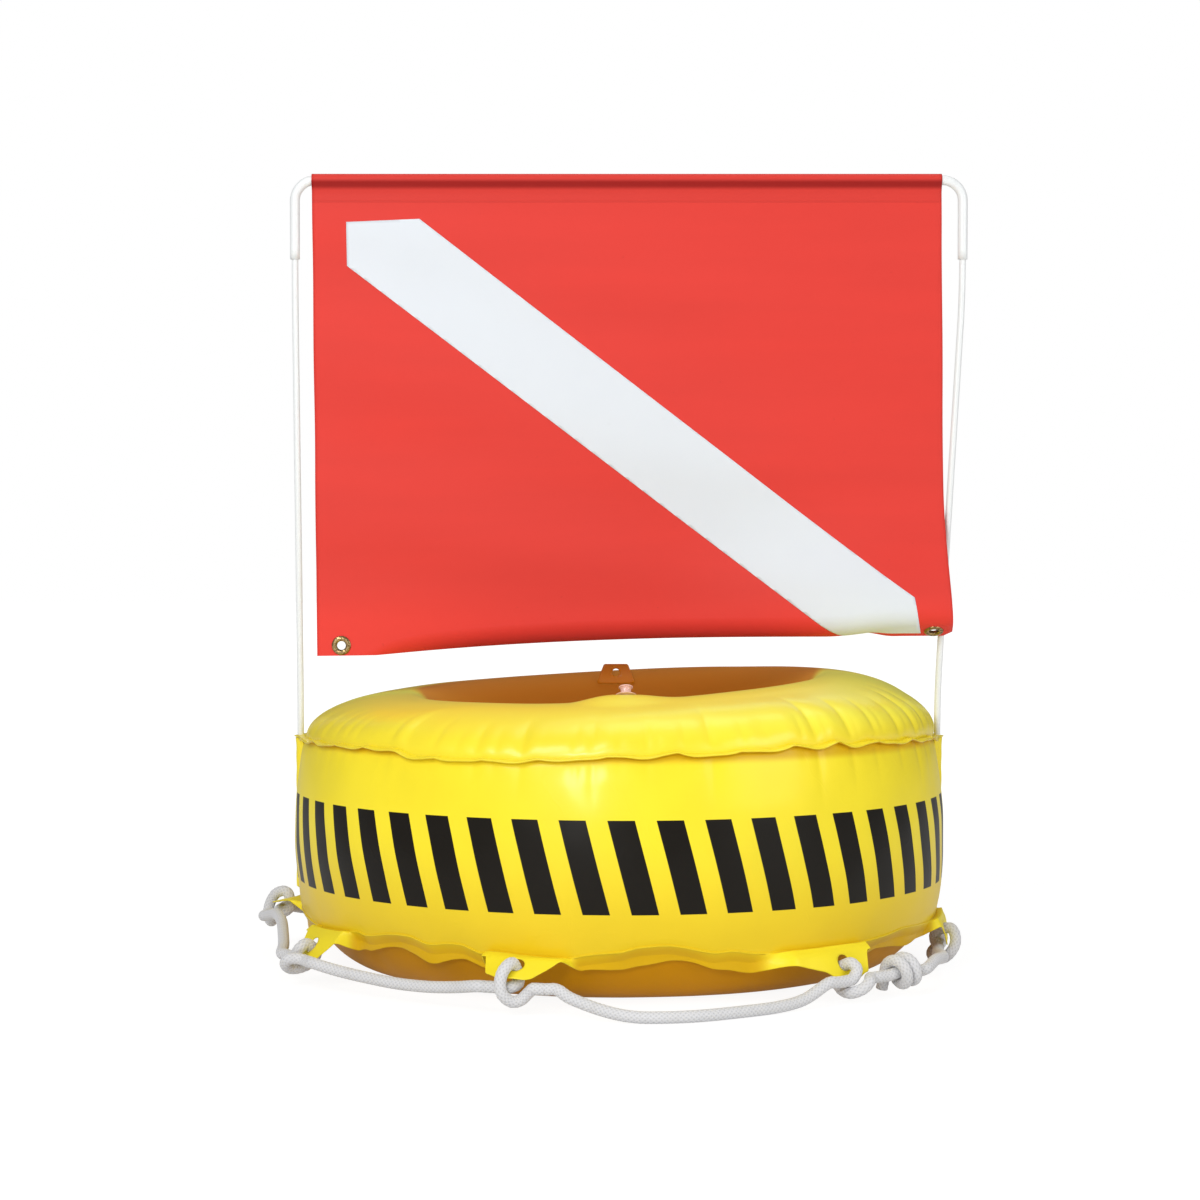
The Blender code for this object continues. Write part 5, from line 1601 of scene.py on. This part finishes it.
def curl_start(x):
    """The height where the cloth begins to curl back, so that its lowest points make the hem's line."""
    flag, fittings = settings("flag"), settings("fittings")
    run = x - flag.left - fittings.left_margin - fittings.grommet_radius - hem_still
    foot, radius = foot_height(x), flag.curl_radius
    if run <= 0:
        return foot
    lowest = flag.foot + flag.hem_rise * (1 - math.exp(-(run / hem_run) ** hem_power))
    lowest = max(lowest, foot + 0.00005)
    low, high = foot, foot + 0.08
    for _ in range(40):
        middle = (low + high) / 2
        if middle - radius * math.sin(min((middle - foot) / radius, math.pi / 2)) < lowest:
            low = middle
        else:
            high = middle
    return low + corner_lift * smooth_step((x - flag.left) / flag.width, *corner_lift_span)


def hang(x, flat):
    """Where a point of the flat panel hangs, given its place across and its height on the flat cloth."""
    flag = settings("flag")
    top, panel_top, radius = flag_edges()
    start = curl_start(x)
    side = (x - flag.left) / flag.width
    back, height = 0, flat
    if flat < start:
        full = hem_turn - (hem_turn - corner_turn) * smooth_step(side, *corner_turn_span)
        run = start - flat
        turn = min(run / flag.curl_radius, math.radians(full))
        rest = run - turn * flag.curl_radius
        back = flag.curl_radius * (1 - math.cos(turn)) + rest * math.sin(turn)
        height = start - flag.curl_radius * math.sin(turn) - rest * math.cos(turn)
    depth = (panel_top - height) / (panel_top - flag.foot)
    curl_top = curl_start(flag.left + flag.width)
    fade = smooth_step(height, curl_top, curl_top + 0.070)
    fade *= smooth_step(panel_top - height, 0, flag.ripple_length / 3)
    ripple = flag.ripple_height * fade * math.sin(math.tau * height / flag.ripple_length + 6 * x / flag.width)
    ripple += small_ripple * fade * noise.noise(Vector((x * 5, height * 21, 0.5)))
    push = flag.corner_push * smooth_step(side, *corner_push_span)
    push *= smooth_step(-height, -flag.foot - corner_push_height, -start)
    flare = flag.corner_flare * max(side - flare_side, 0) / (1 - flare_side)
    flare *= (max(depth - flare_depth, 0) / (1 - flare_depth)) ** 2
    return Vector((x + foot_shift * depth + flare, back - flag.front - ripple - push, height))


def flag_rows(x):
    """Each row of the cloth at one place across: its height on the flat cloth, and where it hangs."""
    flag, sizes = settings("flag"), settings("frame")
    top, panel_top, radius = flag_edges()
    flap = 2 * flag.cloth + touch_gap - flag.front
    weld = sizes.tube_height - flag.weld_drop
    sleeve = [(flap, weld - 0.002), (flap, weld + 0.003), (flap, panel_top)]
    sleeve += arc(0, sizes.tube_height, radius, radius, *sleeve_turn, 24)
    rows = [(top + 0.001 * (len(sleeve) - number), Vector((x, y, z))) for number, (y, z) in enumerate(sleeve)]
    foot, start = foot_height(x), max(curl_start(x), foot_height(x) + 0.012)
    flats = [panel_top + (start - panel_top) * step / hang_rows for step in range(hang_rows + 1)]
    flats += [start + (foot - start) * step / curl_rows for step in range(1, curl_rows + 1)]
    return rows + [(flat, hang(x, flat)) for flat in flats]


def flat_flag():
    """The flag as a grid cut flat in X and Z, which remembers where each of its points hangs."""
    flag = settings("flag")
    table = [flag_rows(flag.left + flag.width * step / flag.columns) for step in range(flag.columns + 1)]
    rows = len(table[0])
    bm = bmesh.new()
    hung = bm.verts.layers.float_vector.new("hung")
    bmesh.ops.create_grid(bm, x_segments=flag.columns, y_segments=rows - 1, size=0.5)
    for vert in bm.verts:
        column, row = round((vert.co.x + 0.5) * flag.columns), round((0.5 - vert.co.y) * (rows - 1))
        flat, place = table[column][row]
        vert[hung] = place
        vert.co = Vector((flag.left + flag.width * column / flag.columns, 0, flat))
    return bm


def hang_up(bm, lift=0.0):
    """Maps the flat cloth in metres, then hangs it with its front face outwards."""
    surface = bm.loops.layers.uv.new("surface")
    for face in bm.faces:
        for loop in face.loops:
            loop[surface].uv = loop.vert.co.xz
    hung = bm.verts.layers.float_vector["hung"]
    for vert in bm.verts:
        vert.co = vert[hung]
    face_out(bm)
    if sum(face.normal.y for face in bm.faces) > 0:
        bmesh.ops.reverse_faces(bm, faces=bm.faces[:])
    bm.normal_update()
    for vert in bm.verts:
        vert.co += vert.normal * lift
    return bm


def cut(bm, start, end, faces=None):
    """Cuts the flat cloth along a line and returns what the cut leaves of the faces."""
    run = Vector((end[0] - start[0], 0, end[1] - start[1]))
    keep = faces is not None
    faces = faces if keep else bm.faces[:]
    edges = {edge for face in faces for edge in face.edges}
    verts = {vert for face in faces for vert in face.verts}
    done = bmesh.ops.bisect_plane(bm, geom=faces + list(edges | verts), dist=0.000001,
                                  plane_co=(start[0], 0, start[1]), plane_no=(-run.z, 0, run.x),
                                  clear_outer=not keep)
    return [item for item in done["geom"] if isinstance(item, bmesh.types.BMFace)]


def punch(bm, x, height, radius):
    """Cuts a round hole in the flat cloth."""
    middle = Vector((x, 0, height))

    def beside(face):
        return (face.calc_center_median() - middle).length

    corners = arc(x, height, radius, radius, 0, 360 * (punch_sides - 1) / punch_sides, punch_sides - 1)
    faces = [face for face in bm.faces if beside(face) < radius * 2.2]
    for start, end in zip(corners, corners[1:] + corners[:1]):
        faces = cut(bm, start, end, faces)
    bmesh.ops.delete(bm, geom=[face for face in faces if beside(face) < radius * 0.97], context="FACES")


def stripe_corners():
    flag = settings("flag")
    left, right = flag.left + flag.stripe_side, flag.left + flag.width - flag.stripe_end
    top, foot = flag_edges()[0] - flag.stripe_top, flag.foot + flag.stripe_foot
    wide, high = flag.stripe_edge_width, flag.stripe_edge_height
    return ((left, top - 0.003), (left + wide, top), (right - 0.006, foot + high), (right, foot),
            (right - wide, foot), (left, top - high))


def flat_stripe():
    bm = flat_flag()
    corners = stripe_corners()
    for start, end in zip(corners, corners[1:] + corners[:1]):
        cut(bm, start, end)
    return bm


def grommet_places():
    flag, sizes = settings("flag"), settings("fittings")
    places = (("left", flag.left + sizes.left_margin), ("right", flag.left + flag.width - sizes.right_margin))
    return [(name, x, foot_height(x) + sizes.foot_margin) for name, x in places]


def flat_cloth():
    """The red cloth with its turned lower right corner and the holes of its grommets."""
    flag, sizes = settings("flag"), settings("fittings")
    bm = flat_flag()
    right = flag.left + flag.width
    cut(bm, (right, foot_height(right) + 0.0085), (right - 0.0075, foot_height(right)))
    for name, x, height in grommet_places():
        punch(bm, x, height, sizes.grommet_barrel + touch_gap)
    return bm


def grommet_matrix(x):
    """A frame on the front of the cloth beside a lower corner, with Z pointing out of the cloth."""
    sizes = settings("fittings")
    flat, near = foot_height(x) + sizes.foot_margin, sizes.grommet_radius / 2
    across = (hang(x + near, flat) - hang(x - near, flat)).normalized()
    upward = (hang(x, flat + near) - hang(x, flat - near)).normalized()
    out = across.cross(upward).normalized()
    matrix = Matrix((across, out.cross(across), out)).transposed().to_4x4()
    matrix.translation = hang(x, flat)
    return matrix


def grommet_outline():
    """A rolled rim over the cloth, a barrel through it and a lip turned out behind."""
    sizes, flag = settings("fittings"), settings("flag")
    middle = (sizes.grommet_radius + sizes.grommet_bore) / 2
    half = (sizes.grommet_radius - sizes.grommet_bore) / 2
    rear = -flag.cloth - 2 * touch_gap - sizes.washer
    outline = arc(middle, touch_gap, half, grommet_rim, 0, 180, 12)
    return outline + [(sizes.grommet_bore, rear - grommet_lip), (grommet_lip_radius, rear - 0.0006),
                      (grommet_lip_radius, rear), (sizes.grommet_barrel, rear),
                      (sizes.grommet_barrel, touch_gap)]


class FLOAT_OT_flag(bpy.types.Operator):
    """Hang the flag's cloth from the tube, with its white stripe, grommets and washers"""
    bl_idname = "dive_float.flag"
    bl_label = "Flag"

    def execute(self, context):
        flag, sizes = settings("flag"), settings("fittings")
        cloth = add_piece("flag_cloth", hang_up(flat_cloth()), red_cloth, "flag",
                          ["flag_panel"], flag.cloth, -1)
        stripe = add_piece("flag_stripe_film", hang_up(flat_stripe(), touch_gap), white_film, "flag",
                           ["flag_stripe"], flag.film, 1)
        hole, high = sizes.grommet_barrel + touch_gap, -flag.cloth - touch_gap
        low = high - sizes.washer
        washer = ((hole, high), (sizes.washer_radius, high), (sizes.washer_radius, low), (hole, low))
        for name, x, flat in grommet_places():
            matrix = grommet_matrix(x)
            add_piece("brass_grommet_" + name, turned(grommet_outline(), matrix, 48),
                                   tarnished_brass, "flag", ["grommet_" + name])
            add_piece("brass_washer_" + name, turned(washer, matrix, 48, 0.0002),
                                   tarnished_brass, "flag", ["grommet_washer_" + name])
        wide, high = flag.stripe_edge_width, flag.stripe_edge_height
        corners = stripe_corners()
        polygon_area(corners)
        return {"FINISHED"}


def polygon_area(corners):
    return abs(sum(a[0] * b[1] - b[0] * a[1] for a, b in zip(corners, corners[1:] + corners[:1]))) / 2


# Camera, floor and light

# Metres from the middle where the floor begins to fade to the background and where it is gone
floor_fade = (0.75, 1.7)
floor_glow = 1.12
# The glow's share of the floor: for light, what the camera's view adds, and what it adds far off
glow_light, glow_near, glow_far = 0.12, 0.70, 0.18
# Lamps: name, setting of its power, place, what it shines on, and diameter
lamps = (
    ("key", "key_power", (-1.5, -2.6, 2.4), (0, 0, 0.3), 1.6),
    ("glint", "glint_power", (-0.6, -2.45, 0.85), (0, -0.3, 0.2), 0.36),
    ("fill", "fill_power", (2.4, -2.0, 1.2), (0, 0, 0.3), 1.8),
    ("top", "top_power", (0.2, 0.5, 3.0), (0, 0, 0.3), 2.0),
)


def add_lamp(name, place, target, size, power):
    lamp = bpy.data.lights.new(name, "AREA")
    lamp.shape = "DISK"
    lamp.size = size
    lamp.energy = power
    item = bpy.data.objects.new(name, lamp)
    item.location = place
    item.rotation_euler = (Vector(target) - Vector(place)).to_track_quat("-Z", "Y").to_euler()
    bpy.context.scene.collection.objects.link(item)


def floor_finish():
    """A pale floor that keeps the object's shadow and fades to the white background."""
    finish = Finish("floor", (0.8, 0.8, 0.8), 0.9)
    tree = finish.tree
    x, y, z = finish.axes(finish.place())
    far = finish.ease(finish.from_axis(x, y), *floor_fade)
    ray = finish.node("ShaderNodeLightPath", output="Is Camera Ray")
    glow = tree.nodes.new("ShaderNodeEmission")
    blend = tree.nodes.new("ShaderNodeMixShader")
    glow.inputs["Strength"].default_value = floor_glow
    finish.feed(blend.inputs[0], glow_light + ray * (glow_near + glow_far * far))
    tree.links.new(finish.shader.outputs[0], blend.inputs[1])
    tree.links.new(glow.outputs[0], blend.inputs[2])
    tree.links.new(blend.outputs[0], tree.nodes["Material Output"].inputs["Surface"])
    return finish.material


def add_world(strength, mirrored):
    """White to the camera, softer as light and dim in reflections."""
    world = bpy.data.worlds.new("white_room")
    bpy.context.scene.world = world
    world.use_nodes = True
    tree = world.node_tree
    background = tree.nodes["Background"]
    background.inputs["Color"].default_value = (1, 1, 1, 1)
    path = tree.nodes.new("ShaderNodeLightPath")
    level = strength
    for ray, value in (("Is Glossy Ray", mirrored), ("Is Camera Ray", 1)):
        choice = tree.nodes.new("ShaderNodeMix")
        tree.links.new(path.outputs[ray], choice.inputs[0])
        if isinstance(level, float):
            choice.inputs[2].default_value = level
        else:
            tree.links.new(level, choice.inputs[2])
        choice.inputs[3].default_value = value
        level = choice.outputs[0]
    tree.links.new(level, background.inputs["Strength"])


class FLOAT_OT_stage(bpy.types.Operator):
    """Set up the camera, the pale floor, the white background and soft lamps"""
    bl_idname = "dive_float.stage"
    bl_label = "Stage"

    def execute(self, context):
        stage = settings("stage")
        camera = bpy.data.cameras.new("camera")
        camera.lens = stage.lens
        camera.sensor_width = stage.sensor
        item = bpy.data.objects.new("camera", camera)
        item.location = (stage.aside, -stage.distance, stage.height)
        item.rotation_euler = (math.pi / 2 - stage.pitch, 0, 0)
        context.scene.collection.objects.link(item)
        context.scene.camera = item
        bm = bmesh.new()
        bmesh.ops.create_grid(bm, x_segments=1, y_segments=1, size=12)
        bmesh.ops.translate(bm, verts=bm.verts[:], vec=(0, 0, -stage.floor_drop))
        mesh = bpy.data.meshes.new("floor")
        bm.to_mesh(mesh)
        bm.free()
        mesh.materials.append(floor_finish())
        floor = bpy.data.objects.new("floor", mesh)
        context.scene.collection.objects.link(floor)
        for name, power, place, target, size in lamps:
            add_lamp(name, place, target, size, getattr(stage, power))
        add_world(stage.sky, stage.mirrored)
        context.scene.view_settings.view_transform = "Standard"
        return {"FINISHED"}


class FLOAT_PT_pieces(bpy.types.Panel):
    """Lists the steps that build the float"""
    bl_idname = "FLOAT_PT_pieces"
    bl_label = "Dive flag float"
    bl_space_type = "VIEW_3D"
    bl_region_type = "UI"
    bl_category = "Float"

    def draw(self, context):
        for step in steps:
            self.layout.operator(step.bl_idname)


steps = (FLOAT_OT_stage, FLOAT_OT_rope, FLOAT_OT_ring, FLOAT_OT_fittings, FLOAT_OT_frame, FLOAT_OT_flag)
classes = (*groups.values(), *steps, FLOAT_PT_pieces)


def register():
    for item in classes:
        bpy.utils.register_class(item)
    for name, group in groups.items():
        setattr(bpy.types.Scene, name, PointerProperty(type=group))


def unregister():
    for name in groups:
        delattr(bpy.types.Scene, name)
    for item in reversed(classes):
        bpy.utils.unregister_class(item)


def main():
    register()
    for step in steps:
        group, name = step.bl_idname.split(".")
        getattr(getattr(bpy.ops, group), name)()


if __name__ == "__main__":
    main()
